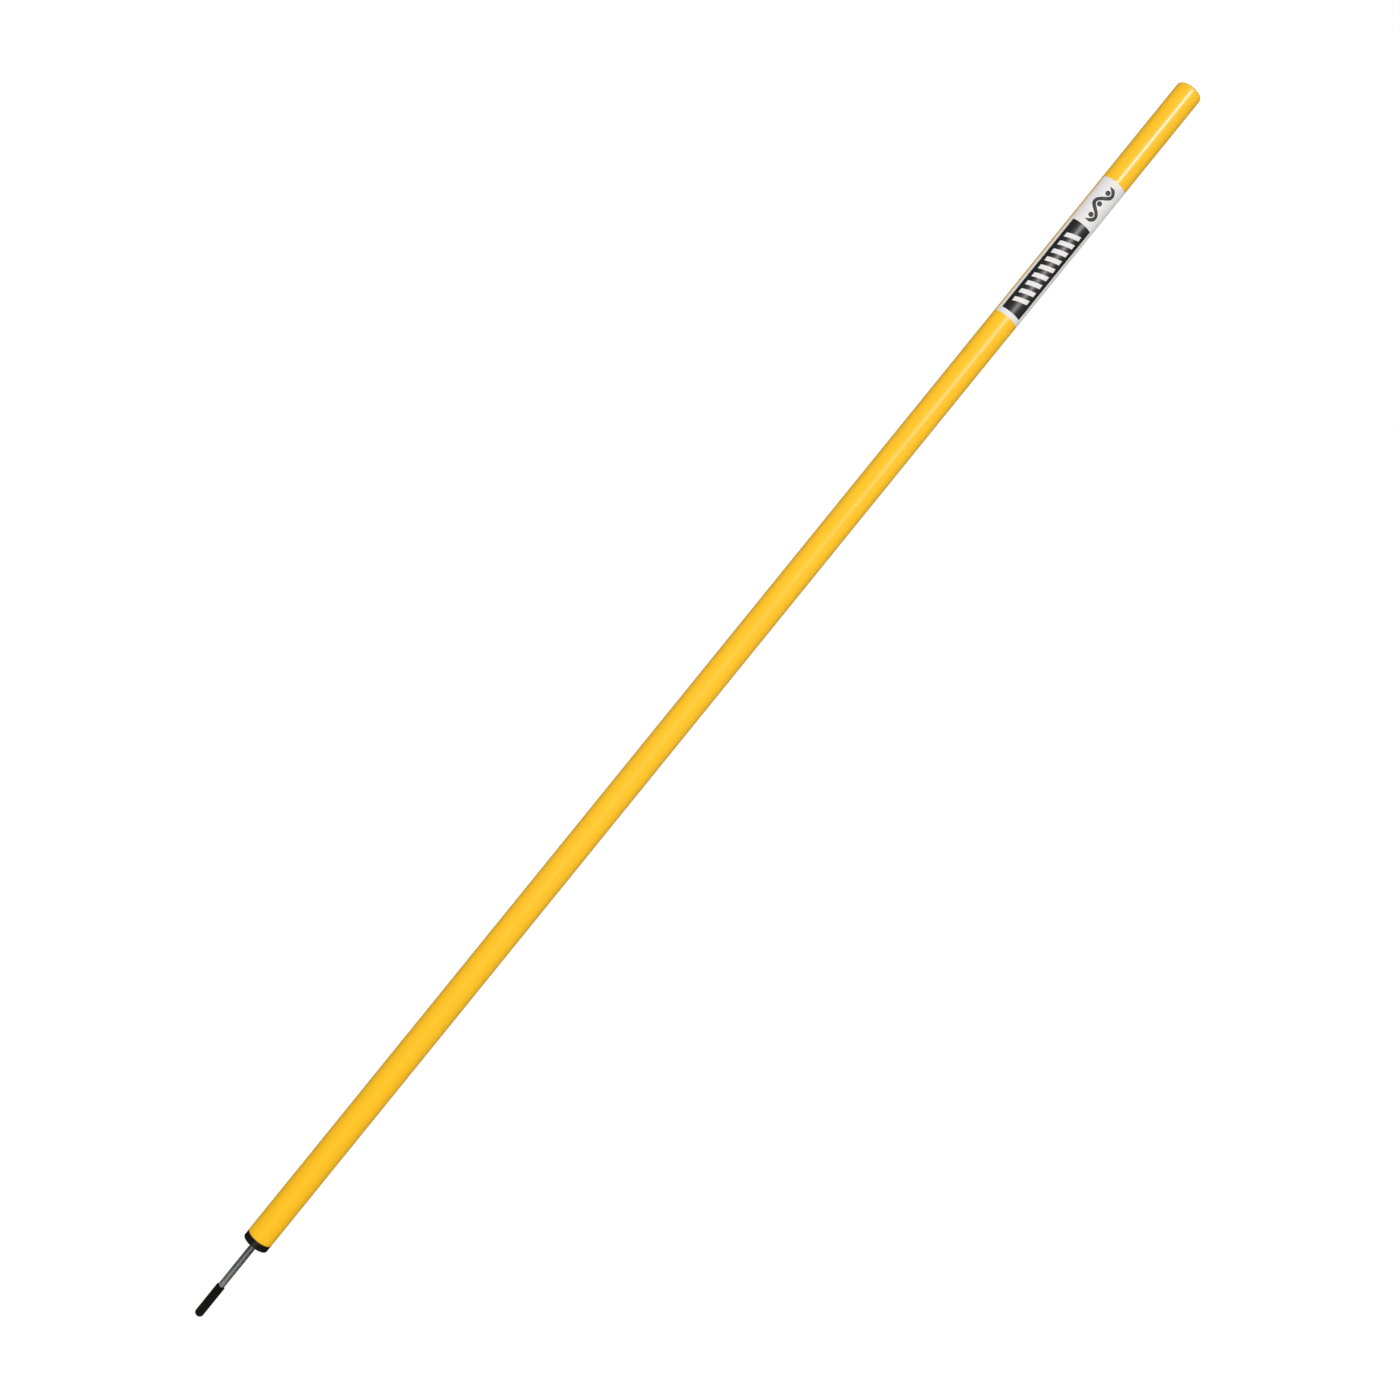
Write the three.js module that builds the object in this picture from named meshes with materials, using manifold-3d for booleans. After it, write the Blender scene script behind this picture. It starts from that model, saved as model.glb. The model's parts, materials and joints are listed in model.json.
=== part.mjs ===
// Slalom pole for sports training: a yellow plastic tube with a pressed-in top cap, a moulded base plug,
// a steel ground spike held in the plug by a lock nut, a push-on guard over the point, and a wrapped label.
// Millimetres, +Z up the pole. The origin is on the axis in the lower face of the base plug, which is
// level with the turf when the spike is pushed in. The label faces -Y.

import * as THREE from "three";
import { mergeVertices } from "three/addons/utils/BufferGeometryUtils.js";
import Module from "manifold-3d";

const wasm = await Module();
wasm.setup();

// The pole as a whole, and its tube
const poleHeight = 1691; // lower face of the base plug to the crown of the top cap
const tubeDiameter = 32;
const tubeWall = 1.8;

// Top cap
const capHeadHeight = 6; // from the tube's end to the crown
const capEdgeRadius = 3.6;
const capCrownRise = 0.6; // how far the middle of the top stands above its rounded edge
const capTopWall = 2.4;
const capSkirtLength = 26;
const capSkirtWall = 1.9;
const capLeadIn = 1.2; // chamfer that guides the skirt into the tube
const capRibHeight = 0.6; // crush ribs, proud of the skirt
const capRibWidth = 1.2;
const capRibLeadIn = 5; // plain length of skirt ahead of the ribs

// Base plug
const plugRingHeight = 8.5; // the ring that shows below the tube
const plugRingEdge = 0.7; // rounding of its lower edge
const plugFloor = 3; // thickness of the ring's floor under the cored pockets
const plugShankLength = 44; // the part inside the tube
const plugShankWall = 1.6;
const plugLeadIn = 1; // chamfer that guides the shank into the tube
const plugBarbDepth = 0.8; // how far a barb stands proud of the shank
const plugBarbLand = 1.2; // the barb's flat against the tube's bore
const plugWebThickness = 1.6;
const plugBossWall = 1.8;
const plugSeatHeight = 22; // where the spike's shoulder bears, above the ring's lower face
const plugSeatWeb = 6; // plastic clamped between the spike's shoulder and the washer

// Ground spike
const rodDiameter = 8;
const spikeReach = 103; // from the plug's lower face down to the tip
const spikePointLength = 13;
const spikeTipRadius = 1;
const threadDiameter = 6; // turned-down upper end
const threadTail = 2.6; // what stands past the nut
const threadChamfer = 0.7;

// Washer and lock nut on the spike's upper end, and the nylon ring that locks the nut
const washerDiameter = 12;
const washerThickness = 1.6;
const nutAcrossFlats = 10;
const nutHexHeight = 4.4;
const nutCollarHeight = 1.6; // round collar that holds the lock ring
const nutCollarWall = 0.7;
const nutChamfer = 0.6;
const lockRingHeight = 1.1;
const lockRingWall = 0.9;
const lockRingLip = 0.4; // the collar's rim, turned in over the ring

// Tip guard
const guardLength = 43;
const guardWall = 1.2;
const guardEndWall = 2.5; // below the spike's tip
const guardEndRadius = 4.4; // rounding of the closed end
const guardRimRadius = 0.5;

// Label
const labelLength = 195.5; // along the pole
const labelBareStrip = 21; // tube left bare between the label's two edges
const labelFilm = 0.15;
const labelTopGap = 140; // from the crown of the pole down to the label's upper edge
const labelEdgeAngle = 63; // degrees from the side that the label faces, -Y, round to its left edge

// Clearances, and the one overrun of all cuts and joins
const glueGap = 0.05; // adhesive between tube and label
const pressGap = 0.1; // between pieces that are pushed together tight, on the radius
const threadGap = 0.2; // round the threaded end, on the radius
const pocketGap = 1; // round the washer and nut in the plug's pocket, for the spanner
const overrun = 1;

// Counts of facets and of what repeats
const roundFacets = 72;
const rodFacets = 36;
const shankFacets = 36; // of what the tube hides
const arcSteps = 5;
const hexSides = 6;
const capRibCount = 8;
const plugBarbCount = 4;
const plugWebCount = 6;

// Sizes that follow from the ones above
const tubeRadius = tubeDiameter / 2;
const boreRadius = tubeRadius - tubeWall;
const gripRadius = boreRadius - pressGap;
const tubeTop = poleHeight - capHeadHeight;
const rodRadius = rodDiameter / 2;
const threadRadius = threadDiameter / 2;
const threadHole = threadRadius + threadGap;
const washerRadius = washerDiameter / 2;
const nutCornerRadius = nutAcrossFlats / Math.sqrt(3);
const washerBase = plugSeatHeight + plugSeatWeb;
const nutBase = washerBase + washerThickness;
const nutTop = nutBase + nutHexHeight + nutCollarHeight;
const lockRingRadius = threadHole + lockRingWall;
const lockRingTop = nutTop - lockRingLip;
const lockRingBase = lockRingTop - lockRingHeight;
const spikeTop = nutTop + threadTail;
const pocketRadius = Math.max(washerRadius, nutCornerRadius) + pocketGap;

// A point of a profile: radius outwards, height up the pole.
function at(radius, height) {
  return new THREE.Vector2(radius, height);
}

// Points along an arc of a profile, with its ends given in degrees.
function arc(radius, height, size, fromDegrees, toDegrees) {
  return Array.from({ length: arcSteps + 1 }, (_, step) => {
    const angle = THREE.MathUtils.degToRad(THREE.MathUtils.lerp(fromDegrees, toDegrees, step / arcSteps));
    return at(radius + size * Math.cos(angle), height + size * Math.sin(angle));
  });
}

// Turns a profile about the pole's axis. On the piece's outer side the profile runs upwards.
function turned(profile, facets) {
  return new THREE.LatheGeometry(profile, facets).rotateX(Math.PI / 2);
}

// Turns a section that stays clear of the axis, and closes it on itself.
function turnedRing(section, facets) {
  return turned([...section, section[0].clone()], facets);
}

// A plain cylinder between two heights.
function barrel(radius, from, to, facets) {
  return turned([at(0, from), at(radius, from), at(radius, to), at(0, to)], facets);
}

// A bar that runs outwards from the axis at an angle, between two radii and two heights.
function radialBar(fromRadius, toRadius, width, from, to, angle) {
  return new THREE.BoxGeometry(toRadius - fromRadius, width, to - from)
    .translate((fromRadius + toRadius) / 2, 0, (from + to) / 2)
    .rotateZ(angle);
}

// Angles spaced evenly round the axis.
function anglesRound(count) {
  return Array.from({ length: count }, (_, index) => (2 * Math.PI * index) / count);
}

// A closed geometry as a solid that can be cut and joined.
function solid(geometry) {
  const bare = geometry.clone();
  bare.deleteAttribute("normal");
  bare.deleteAttribute("uv");
  const merged = mergeVertices(bare);
  const vertProperties = new Float32Array(merged.attributes.position.array);
  const triVerts = new Uint32Array(merged.index.array);
  return new wasm.Manifold(new wasm.Mesh({ numProp: 3, vertProperties, triVerts }));
}

// Several geometries joined to one solid.
function joined(geometries) {
  return geometries.map(solid).reduce((body, piece) => body.add(piece));
}

// A solid as a geometry with flat facets.
function faceted(body) {
  const mesh = body.getMesh();
  const shared = new THREE.BufferGeometry();
  shared.setAttribute("position", new THREE.BufferAttribute(new Float32Array(mesh.vertProperties), 3));
  shared.setIndex(new THREE.BufferAttribute(new Uint32Array(mesh.triVerts), 1));
  const loose = shared.toNonIndexed();
  loose.computeVertexNormals();
  return loose;
}

// Extruded tube with square-cut ends. It stands on the plug's ring and carries the cap's head.
function poleTube() {
  const section = [
    at(boreRadius, plugRingHeight),
    at(tubeRadius, plugRingHeight),
    at(tubeRadius, tubeTop),
    at(boreRadius, tubeTop),
  ];
  return turnedRing(section, roundFacets);
}

// The cap's shallow crown, from its rounded edge to the axis, as part of one large sphere.
function capCrown(edgeRadius) {
  const sphere = (edgeRadius ** 2 + capCrownRise ** 2) / (2 * capCrownRise);
  const edgeAngle = THREE.MathUtils.radToDeg(Math.acos(edgeRadius / sphere));
  return arc(0, poleHeight - sphere, sphere, edgeAngle, 90).slice(1, -1);
}

// Pressed-in cap: a head as wide as the tube, and a hollow skirt whose crush ribs grip the bore.
function topCap() {
  const skirtRadius = gripRadius - capRibHeight;
  const skirtBottom = tubeTop - capSkirtLength;
  const hollowRadius = skirtRadius - capSkirtWall;
  const hollowTop = poleHeight - capTopWall;
  const edge = Math.min(capEdgeRadius, capHeadHeight - capCrownRise);
  const shell = turned(
    [
      at(0, hollowTop),
      at(hollowRadius - capLeadIn, hollowTop),
      at(hollowRadius, hollowTop - capLeadIn),
      at(hollowRadius, skirtBottom),
      at(skirtRadius - capLeadIn, skirtBottom),
      at(skirtRadius, skirtBottom + capLeadIn),
      at(skirtRadius, tubeTop),
      at(tubeRadius, tubeTop),
      ...arc(tubeRadius - edge, poleHeight - capCrownRise - edge, edge, 0, 90),
      ...capCrown(tubeRadius - edge),
      at(0, poleHeight),
    ],
    roundFacets,
  );
  const ribFoot = skirtRadius - capSkirtWall / 2;
  const ribBottom = skirtBottom + capRibLeadIn;
  const bars = anglesRound(capRibCount).map((angle) =>
    radialBar(ribFoot, gripRadius + overrun, capRibWidth, ribBottom, tubeTop, angle),
  );
  const bore = solid(barrel(gripRadius, ribBottom - overrun, tubeTop, roundFacets));
  return faceted(solid(shell).add(joined(bars).intersect(bore)));
}

// The plug's ring, the part of it that shows.
function plugRing() {
  return turned(
    [
      at(0, 0),
      ...arc(tubeRadius - plugRingEdge, plugRingEdge, plugRingEdge, -90, 0),
      at(tubeRadius, plugRingHeight),
      at(0, plugRingHeight),
    ],
    roundFacets,
  );
}

// The plug's shank inside the tube, with its barbs, up to its lead-in.
function plugShank() {
  const shankRadius = gripRadius - plugBarbDepth;
  const shankTop = plugRingHeight + plugShankLength;
  const barbPitch = plugShankLength / (plugBarbCount + 1);
  const barbs = Array.from({ length: plugBarbCount }, (_, index) => {
    const foot = plugRingHeight + (index + 1) * barbPitch - barbPitch / 2;
    return [
      at(shankRadius, foot),
      at(gripRadius, foot),
      at(gripRadius, foot + plugBarbLand),
      at(shankRadius, foot + barbPitch / 2),
    ];
  });
  return turned(
    [
      at(0, plugFloor),
      at(shankRadius, plugFloor),
      ...barbs.flat(),
      at(shankRadius, shankTop - plugLeadIn),
      at(shankRadius - plugLeadIn, shankTop),
      at(0, shankTop),
    ],
    shankFacets,
  );
}

// Moulded plug: ring and barbed shank, cored out round a central boss that webs tie to the shank's wall.
// The boss has the stepped bore for the spike, and the pocket for the spike's washer and nut.
function basePlug() {
  const outline = joined([plugRing(), plugShank()]);
  const shankTop = plugRingHeight + plugShankLength;
  const coreRadius = gripRadius - plugBarbDepth - plugShankWall;
  const core = solid(barrel(coreRadius, plugFloor, shankTop + overrun, shankFacets));
  const bossRadius = pocketRadius + plugBossWall;
  const insideBottom = plugFloor - overrun;
  const inside = joined([
    barrel(bossRadius, insideBottom, spikeTop, shankFacets),
    ...anglesRound(plugWebCount).map((angle) =>
      radialBar(pocketRadius, coreRadius + plugShankWall / 2, plugWebThickness, insideBottom, spikeTop, angle),
    ),
  ]);
  const bores = joined([
    barrel(rodRadius + pressGap, -overrun, plugSeatHeight, rodFacets),
    barrel(threadHole, plugSeatHeight - overrun, washerBase + overrun, rodFacets),
    barrel(pocketRadius, washerBase, spikeTop + overrun, rodFacets),
  ]);
  return faceted(outline.subtract(core).add(inside.intersect(outline)).subtract(bores));
}

// Steel spike: pointed below, shouldered above and turned down for its washer and nut.
function groundSpike() {
  const pointAngle = THREE.MathUtils.radToDeg(Math.atan2(rodRadius, spikePointLength));
  const profile = [
    at(0, -spikeReach),
    ...arc(0, spikeTipRadius - spikeReach, spikeTipRadius, -90, -pointAngle).slice(1),
    at(rodRadius, spikePointLength - spikeReach),
    at(rodRadius, plugSeatHeight),
    at(threadRadius, plugSeatHeight),
    at(threadRadius, spikeTop - threadChamfer),
    at(threadRadius - threadChamfer, spikeTop),
    at(0, spikeTop),
  ];
  return turned(profile, rodFacets);
}

function spikeWasher() {
  const section = [
    at(threadHole, washerBase),
    at(washerRadius, washerBase),
    at(washerRadius, nutBase),
    at(threadHole, nutBase),
  ];
  return turnedRing(section, rodFacets);
}

// Lock nut: a hexagon with chamfered corners, a round collar on top and a through bore that widens in
// the collar for the lock ring, under the collar's turned-in rim.
function spikeNut() {
  const hexTop = nutBase + nutHexHeight;
  const hexagon = new THREE.CylinderGeometry(nutCornerRadius, nutCornerRadius, nutHexHeight, hexSides)
    .rotateX(Math.PI / 2)
    .translate(0, 0, nutBase + nutHexHeight / 2);
  const chamfers = turned(
    [
      at(0, nutBase),
      at(nutCornerRadius - nutChamfer, nutBase),
      at(nutCornerRadius, nutBase + nutChamfer / 2),
      at(nutCornerRadius, hexTop - nutChamfer / 2),
      at(nutCornerRadius - nutChamfer, hexTop),
      at(0, hexTop),
    ],
    rodFacets,
  );
  const recessRadius = lockRingRadius + pressGap;
  const collarRadius = recessRadius + nutCollarWall;
  const rimRadius = lockRingRadius - lockRingLip;
  const collar = turned(
    [
      at(0, hexTop - overrun),
      at(collarRadius, hexTop - overrun),
      at(collarRadius, nutTop - nutChamfer),
      at(collarRadius - nutChamfer, nutTop),
      at(0, nutTop),
    ],
    rodFacets,
  );
  const bore = turned(
    [
      at(0, nutBase - overrun),
      at(threadHole, nutBase - overrun),
      at(threadHole, lockRingBase),
      at(recessRadius, lockRingBase),
      at(recessRadius, lockRingTop),
      at(rimRadius, lockRingTop),
      at(rimRadius, nutTop + overrun),
      at(0, nutTop + overrun),
    ],
    rodFacets,
  );
  return faceted(solid(hexagon).intersect(solid(chamfers)).add(solid(collar)).subtract(solid(bore)));
}

// Nylon ring on the recess floor of the nut. It grips the spike's thread.
function nutLockRing() {
  const section = [
    at(threadRadius + pressGap, lockRingBase),
    at(lockRingRadius, lockRingBase),
    at(lockRingRadius, lockRingTop - pressGap),
    at(threadRadius + pressGap, lockRingTop - pressGap),
  ];
  return turnedRing(section, rodFacets);
}

// Push-on guard: a blind sleeve of even wall, with a rounded closed end and a rounded rim.
function tipGuard() {
  const insideRadius = rodRadius + pressGap;
  const outsideRadius = insideRadius + guardWall;
  const bottom = -spikeReach - guardEndWall;
  const insideBottom = -spikeReach - pressGap;
  const rim = bottom + guardLength;
  const end = Math.min(guardEndRadius, outsideRadius);
  const insideEnd = Math.max(end - guardWall, 0);
  const profile = [
    at(0, bottom),
    ...arc(outsideRadius - end, bottom + end, end, -90, 0),
    ...arc(outsideRadius - guardRimRadius, rim - guardRimRadius, guardRimRadius, 0, 90),
    at(insideRadius, rim),
    ...arc(insideRadius - insideEnd, insideBottom + insideEnd, insideEnd, 0, -90),
    at(0, insideBottom),
  ];
  return turned(profile, rodFacets);
}

// Self-adhesive film bent round the tube. Its edges stop short of each other at the back left.
function labelWrap() {
  const insideRadius = tubeRadius + glueGap;
  const sweep = 2 * Math.PI - labelBareStrip / insideRadius;
  const leftEdge = -Math.PI / 2 - THREE.MathUtils.degToRad(labelEdgeAngle);
  const section = new THREE.Shape()
    .absarc(0, 0, insideRadius + labelFilm, leftEdge, leftEdge + sweep, false)
    .absarc(0, 0, insideRadius, leftEdge + sweep, leftEdge, true);
  const halfTurns = sweep / (4 * Math.PI);
  const shape = { depth: labelLength, bevelEnabled: false, curveSegments: Math.round(roundFacets * halfTurns) };
  return new THREE.ExtrudeGeometry(section, shape).translate(0, 0, poleHeight - labelTopGap - labelLength);
}

const finishes = {
  yellowPlastic: { color: 0xfec626, roughness: 0.32, metalness: 0 },
  whiteFilm: { color: 0xebe9ec, roughness: 0.35, metalness: 0 },
  blackPlastic: { color: 0x14120f, roughness: 0.55, metalness: 0 },
  blackRubber: { color: 0x171311, roughness: 0.85, metalness: 0 },
  bareSteel: { color: 0x787c76, roughness: 0.45, metalness: 0.9 },
  platedSteel: { color: 0xb8bcc0, roughness: 0.35, metalness: 1 },
  paleNylon: { color: 0xdad8ce, roughness: 0.45, metalness: 0 },
};

const slalomPole = new THREE.Group();

function addPiece(name, geometry, finish) {
  const piece = new THREE.Mesh(geometry, new THREE.MeshStandardMaterial(finish));
  piece.name = name;
  slalomPole.add(piece);
}

addPiece("pole_tube", poleTube(), finishes.yellowPlastic);
addPiece("top_cap", topCap(), finishes.yellowPlastic);
addPiece("label_wrap", labelWrap(), finishes.whiteFilm);
addPiece("base_plug", basePlug(), finishes.blackPlastic);
addPiece("ground_spike", groundSpike(), finishes.bareSteel);
addPiece("spike_washer", spikeWasher(), finishes.platedSteel);
addPiece("spike_nut", spikeNut(), finishes.platedSteel);
addPiece("nut_lock_ring", nutLockRing(), finishes.paleNylon);
addPiece("tip_guard", tipGuard(), finishes.blackRubber);

export default slalomPole;
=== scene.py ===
"""Surfaces, finishes, light and camera of a slalom pole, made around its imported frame."""

import json
import logging
import math
from abc import ABC, abstractmethod
from collections.abc import Callable, Sequence
from dataclasses import dataclass, field
from enum import Enum

import bpy
from mathutils import Matrix, Vector, noise


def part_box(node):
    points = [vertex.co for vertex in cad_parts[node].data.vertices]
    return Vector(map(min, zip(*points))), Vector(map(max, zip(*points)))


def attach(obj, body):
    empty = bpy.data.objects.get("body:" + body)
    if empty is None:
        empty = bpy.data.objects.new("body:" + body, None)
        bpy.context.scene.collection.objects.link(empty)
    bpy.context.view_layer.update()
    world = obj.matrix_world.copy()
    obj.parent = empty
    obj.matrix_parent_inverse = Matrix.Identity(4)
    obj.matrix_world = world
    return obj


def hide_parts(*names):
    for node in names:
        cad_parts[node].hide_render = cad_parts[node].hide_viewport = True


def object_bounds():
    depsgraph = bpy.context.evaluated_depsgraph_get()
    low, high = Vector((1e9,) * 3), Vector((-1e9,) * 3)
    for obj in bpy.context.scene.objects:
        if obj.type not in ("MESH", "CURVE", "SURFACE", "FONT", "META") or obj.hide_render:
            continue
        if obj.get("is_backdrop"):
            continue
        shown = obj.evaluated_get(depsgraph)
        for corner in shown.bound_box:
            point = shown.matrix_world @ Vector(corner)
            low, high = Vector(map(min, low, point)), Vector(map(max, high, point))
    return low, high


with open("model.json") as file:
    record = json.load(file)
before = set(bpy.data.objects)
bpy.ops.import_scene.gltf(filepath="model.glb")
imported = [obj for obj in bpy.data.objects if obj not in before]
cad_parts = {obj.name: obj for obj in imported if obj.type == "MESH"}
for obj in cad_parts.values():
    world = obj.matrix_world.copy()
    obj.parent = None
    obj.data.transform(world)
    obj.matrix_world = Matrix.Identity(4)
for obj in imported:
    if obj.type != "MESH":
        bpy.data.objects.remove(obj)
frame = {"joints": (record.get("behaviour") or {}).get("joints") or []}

MM = 0.001
FULL_TURN = 2 * math.pi
SHARP_CORNER = math.radians(32.0)
# A radius under this counts as none
ON_AXIS = 1e-9
# The straight pieces in a rounding, and the most that it takes of a run beside it
ROUNDING_STEPS = 4
ROUNDING_SHARE = 0.49
# A run this many times as long as the way to the point next to its rounding gets that point
LONG_RUN = 5.0
LOG = logging.getLogger("slalom_pole")

Point = tuple[float, float]
Corner = tuple[float, float, float]
Colour = tuple[float, float, float]
Face = tuple[int, ...]
Feeds = dict[str | int, object]


class Body(Enum):
    """The bodies of the frame that a piece can ride on."""

    POLE = "pole"
    GUARD = "guard"


class Slot(Enum):
    """The record's material slots."""

    TUBE = "yellow_tube"
    CAP = "yellow_cap"
    LABEL = "label_film"
    PLUG = "black_plug"
    SPIKE = "spike_steel"
    PLATED = "plated_steel"
    NYLON = "pale_nylon"
    GUARD = "guard_rubber"


def linear(red: int, green: int, blue: int) -> Colour:
    """Turns an sRGB colour, 0 to 255, into the linear values that shaders take."""
    shares = (channel / 255 for channel in (red, green, blue))
    return tuple(s / 12.92 if s <= 0.04045 else ((s + 0.055) / 1.055) ** 2.4 for s in shares)


# Node trees


class Signal:
    """A value in a node tree. Arithmetic on it adds Math nodes."""

    def __init__(self, wiring: "Wiring", socket: bpy.types.NodeSocket) -> None:
        """Keeps the value's socket, and what adds nodes to its tree."""
        self.wiring = wiring
        self.socket = socket

    def __add__(self, other: object) -> "Signal":
        """Returns the sum with a signal or a number."""
        return self.wiring.math("ADD", self, other)

    def __sub__(self, other: object) -> "Signal":
        """Returns this less a signal or a number."""
        return self.wiring.math("SUBTRACT", self, other)

    def __rsub__(self, other: float) -> "Signal":
        """Returns a number less this."""
        return self.wiring.math("SUBTRACT", other, self)

    def __mul__(self, other: object) -> "Signal":
        """Returns the product with a signal or a number."""
        return self.wiring.math("MULTIPLY", self, other)

    def __truediv__(self, other: object) -> "Signal":
        """Returns this divided by a signal or a number."""
        return self.wiring.math("DIVIDE", self, other)


class Wiring:
    """Adds nodes to one tree and joins them."""

    def __init__(self, tree: bpy.types.NodeTree) -> None:
        """Keeps the tree that the nodes go into."""
        self.tree = tree

    def node(self, kind: str, feeds: Feeds | None = None, **options: object) -> bpy.types.Node:
        """Adds a node.

        Args:
            kind: the node's type.
            feeds: a signal or a plain value for each input, by the input's name, identifier or number.
            options: the node's own settings.

        Returns:
            The new node.
        """
        made = self.tree.nodes.new(kind)
        for name, value in options.items():
            setattr(made, name, value)
        for key, value in (feeds or {}).items():
            target = self.pick(made.inputs, key)
            if isinstance(value, Signal):
                self.tree.links.new(value.socket, target)
            elif target.type == "RGBA" and len(value) == 3:
                target.default_value = (*value, 1.0)
            else:
                target.default_value = value
        return made

    def output(self, kind: str, feeds: Feeds | None = None, key: str | int = 0, **options: object) -> Signal:
        """Adds a node and returns the output with this name, identifier or number."""
        return Signal(self, self.pick(self.node(kind, feeds, **options).outputs, key))

    @staticmethod
    def pick(sockets: bpy.types.bpy_prop_collection, key: str | int) -> bpy.types.NodeSocket:
        """Finds a socket.

        Args:
            sockets: the inputs or the outputs of a node.
            key: the socket's number, its identifier, or the name that it shares only with disabled ones.

        Returns:
            The socket.
        """
        if isinstance(key, int):
            return sockets[key]
        found = [socket for socket in sockets if socket.identifier == key]
        found += [socket for socket in sockets if socket.name == key and socket.enabled]
        return found[0]

    def math(self, operation: str, *values: object, clamp: bool = False) -> Signal:
        """Adds a Math node and returns its result."""
        return self.output("ShaderNodeMath", dict(enumerate(values)), operation=operation, use_clamp=clamp)

    def vector(self, *axes: object) -> Signal:
        """Joins three values into a vector."""
        return self.output("ShaderNodeCombineXYZ", dict(enumerate(axes)))

    def split(self, vector: Signal) -> list[Signal]:
        """Returns the three values of a vector."""
        return [Signal(self, axis) for axis in self.node("ShaderNodeSeparateXYZ", {0: vector}).outputs]

    def step(self, value: object, low: object, high: object, smooth: bool = True) -> Signal:
        """Returns the share of the way from low to high, held at both ends.

        Args:
            value: what is compared.
            low: where the share is 0.
            high: where the share is 1.
            smooth: whether the rise is an S-curve instead of a straight line.

        Returns:
            The share, 0 to 1.
        """
        feeds = {"Value": value, "From Min": low, "From Max": high}
        kind = "SMOOTHSTEP" if smooth else "LINEAR"
        return self.output("ShaderNodeMapRange", feeds, interpolation_type=kind)

    def under(self, value: Signal, limit: float, soft: float) -> Signal:
        """Returns 1 where the value is under a limit and 0 above, with a soft edge."""
        return 1.0 - self.step(value, limit - soft, limit + soft)

    def between(self, value: Signal, low: float, high: float, soft: float) -> Signal:
        """Returns 1 where the value lies between two limits and 0 outside, with soft edges."""
        return self.step(value, low - soft, low + soft) * self.under(value, high, soft)

    def spread(self, value: Signal, low: float, high: float) -> Signal:
        """Spreads a value of 0 to 1 over another range."""
        return self.output("ShaderNodeMapRange", {"Value": value, "To Min": low, "To Max": high})

    def blend(self, share: Signal, first: object, second: object) -> Signal:
        """Mixes two colours."""
        feeds = {"Factor_Float": share, "A_Color": first, "B_Color": second}
        return self.output("ShaderNodeMix", feeds, "Result_Color", data_type="RGBA")


@dataclass(frozen=True)
class Cloud:
    """A soft random pattern: its patches' usual size, its scale along each axis, and its finer layers.

    A scale under 1 draws the patches out along that axis.
    """

    size: float
    stretch: Corner = (1.0, 1.0, 1.0)
    detail: float = 3.0
    roughness: float = 0.55


class SurfaceWiring(Wiring):
    """Adds the nodes that surface patterns share. Places are Object coordinates, in metres."""

    def place(self, stretch: Corner = (1.0, 1.0, 1.0)) -> Signal:
        """Returns the Object coordinates, scaled along each axis."""
        spot = self.output("ShaderNodeTexCoord", key="Object")
        return self.output("ShaderNodeMapping", {"Vector": spot, "Scale": stretch})

    def height(self) -> Signal:
        """Returns the height up the pole."""
        return self.split(self.place())[2]

    def cloud(self, cloud: Cloud) -> Signal:
        """Adds a soft random pattern.

        Args:
            cloud: the pattern's sizes.

        Returns:
            The pattern, 0 to 1.
        """
        feeds = {"Vector": self.place(cloud.stretch), "Scale": 1 / cloud.size}
        feeds |= {"Detail": cloud.detail, "Roughness": cloud.roughness}
        return self.output("ShaderNodeTexNoise", feeds, "Fac")

    def relief(self, height: Signal, depth: float, over: Signal | None = None) -> Signal:
        """Returns the normal of a surface with fine relief.

        Args:
            height: the relief, 0 to 1.
            depth: how deep a relief of 1 is, in metres.
            over: the normal of a coarser relief under this one.

        Returns:
            The bent normal.
        """
        feeds = {"Height": height, "Distance": depth, "Strength": 1.0}
        if over is not None:
            feeds["Normal"] = over
        return self.output("ShaderNodeBump", feeds)


def emptied(owner: bpy.types.Material | bpy.types.World) -> SurfaceWiring:
    """Clears the nodes of a material or a world.

    Args:
        owner: the material or the world.

    Returns:
        What adds nodes to it.
    """
    owner.use_nodes = True
    owner.node_tree.nodes.clear()
    return SurfaceWiring(owner.node_tree)


def surfaced(name: str, surface: Callable[[SurfaceWiring], Signal]) -> bpy.types.Material:
    """Makes a material.

    Args:
        name: its name.
        surface: adds the nodes of its surface and returns the last one's output.

    Returns:
        The material.
    """
    made = bpy.data.materials.new(name)
    wiring = emptied(made)
    wiring.node("ShaderNodeOutputMaterial", {"Surface": surface(wiring)})
    return made


# Finishes


@dataclass(frozen=True)
class Finish(ABC):
    """How a surface looks. Each finish makes one material of its own name."""

    name: str

    def material(self) -> bpy.types.Material:
        """Returns the finish's material, made at the first call."""
        return bpy.data.materials.get(self.name) or surfaced(self.name, self.surface)

    def surface(self, wiring: SurfaceWiring) -> Signal:
        """Returns the output of the finish's own shader."""
        return wiring.output("ShaderNodeBsdfPrincipled", self.inputs(wiring))

    @abstractmethod
    def inputs(self, wiring: SurfaceWiring) -> Feeds:
        """Returns what the shader's inputs get, by name."""


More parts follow.
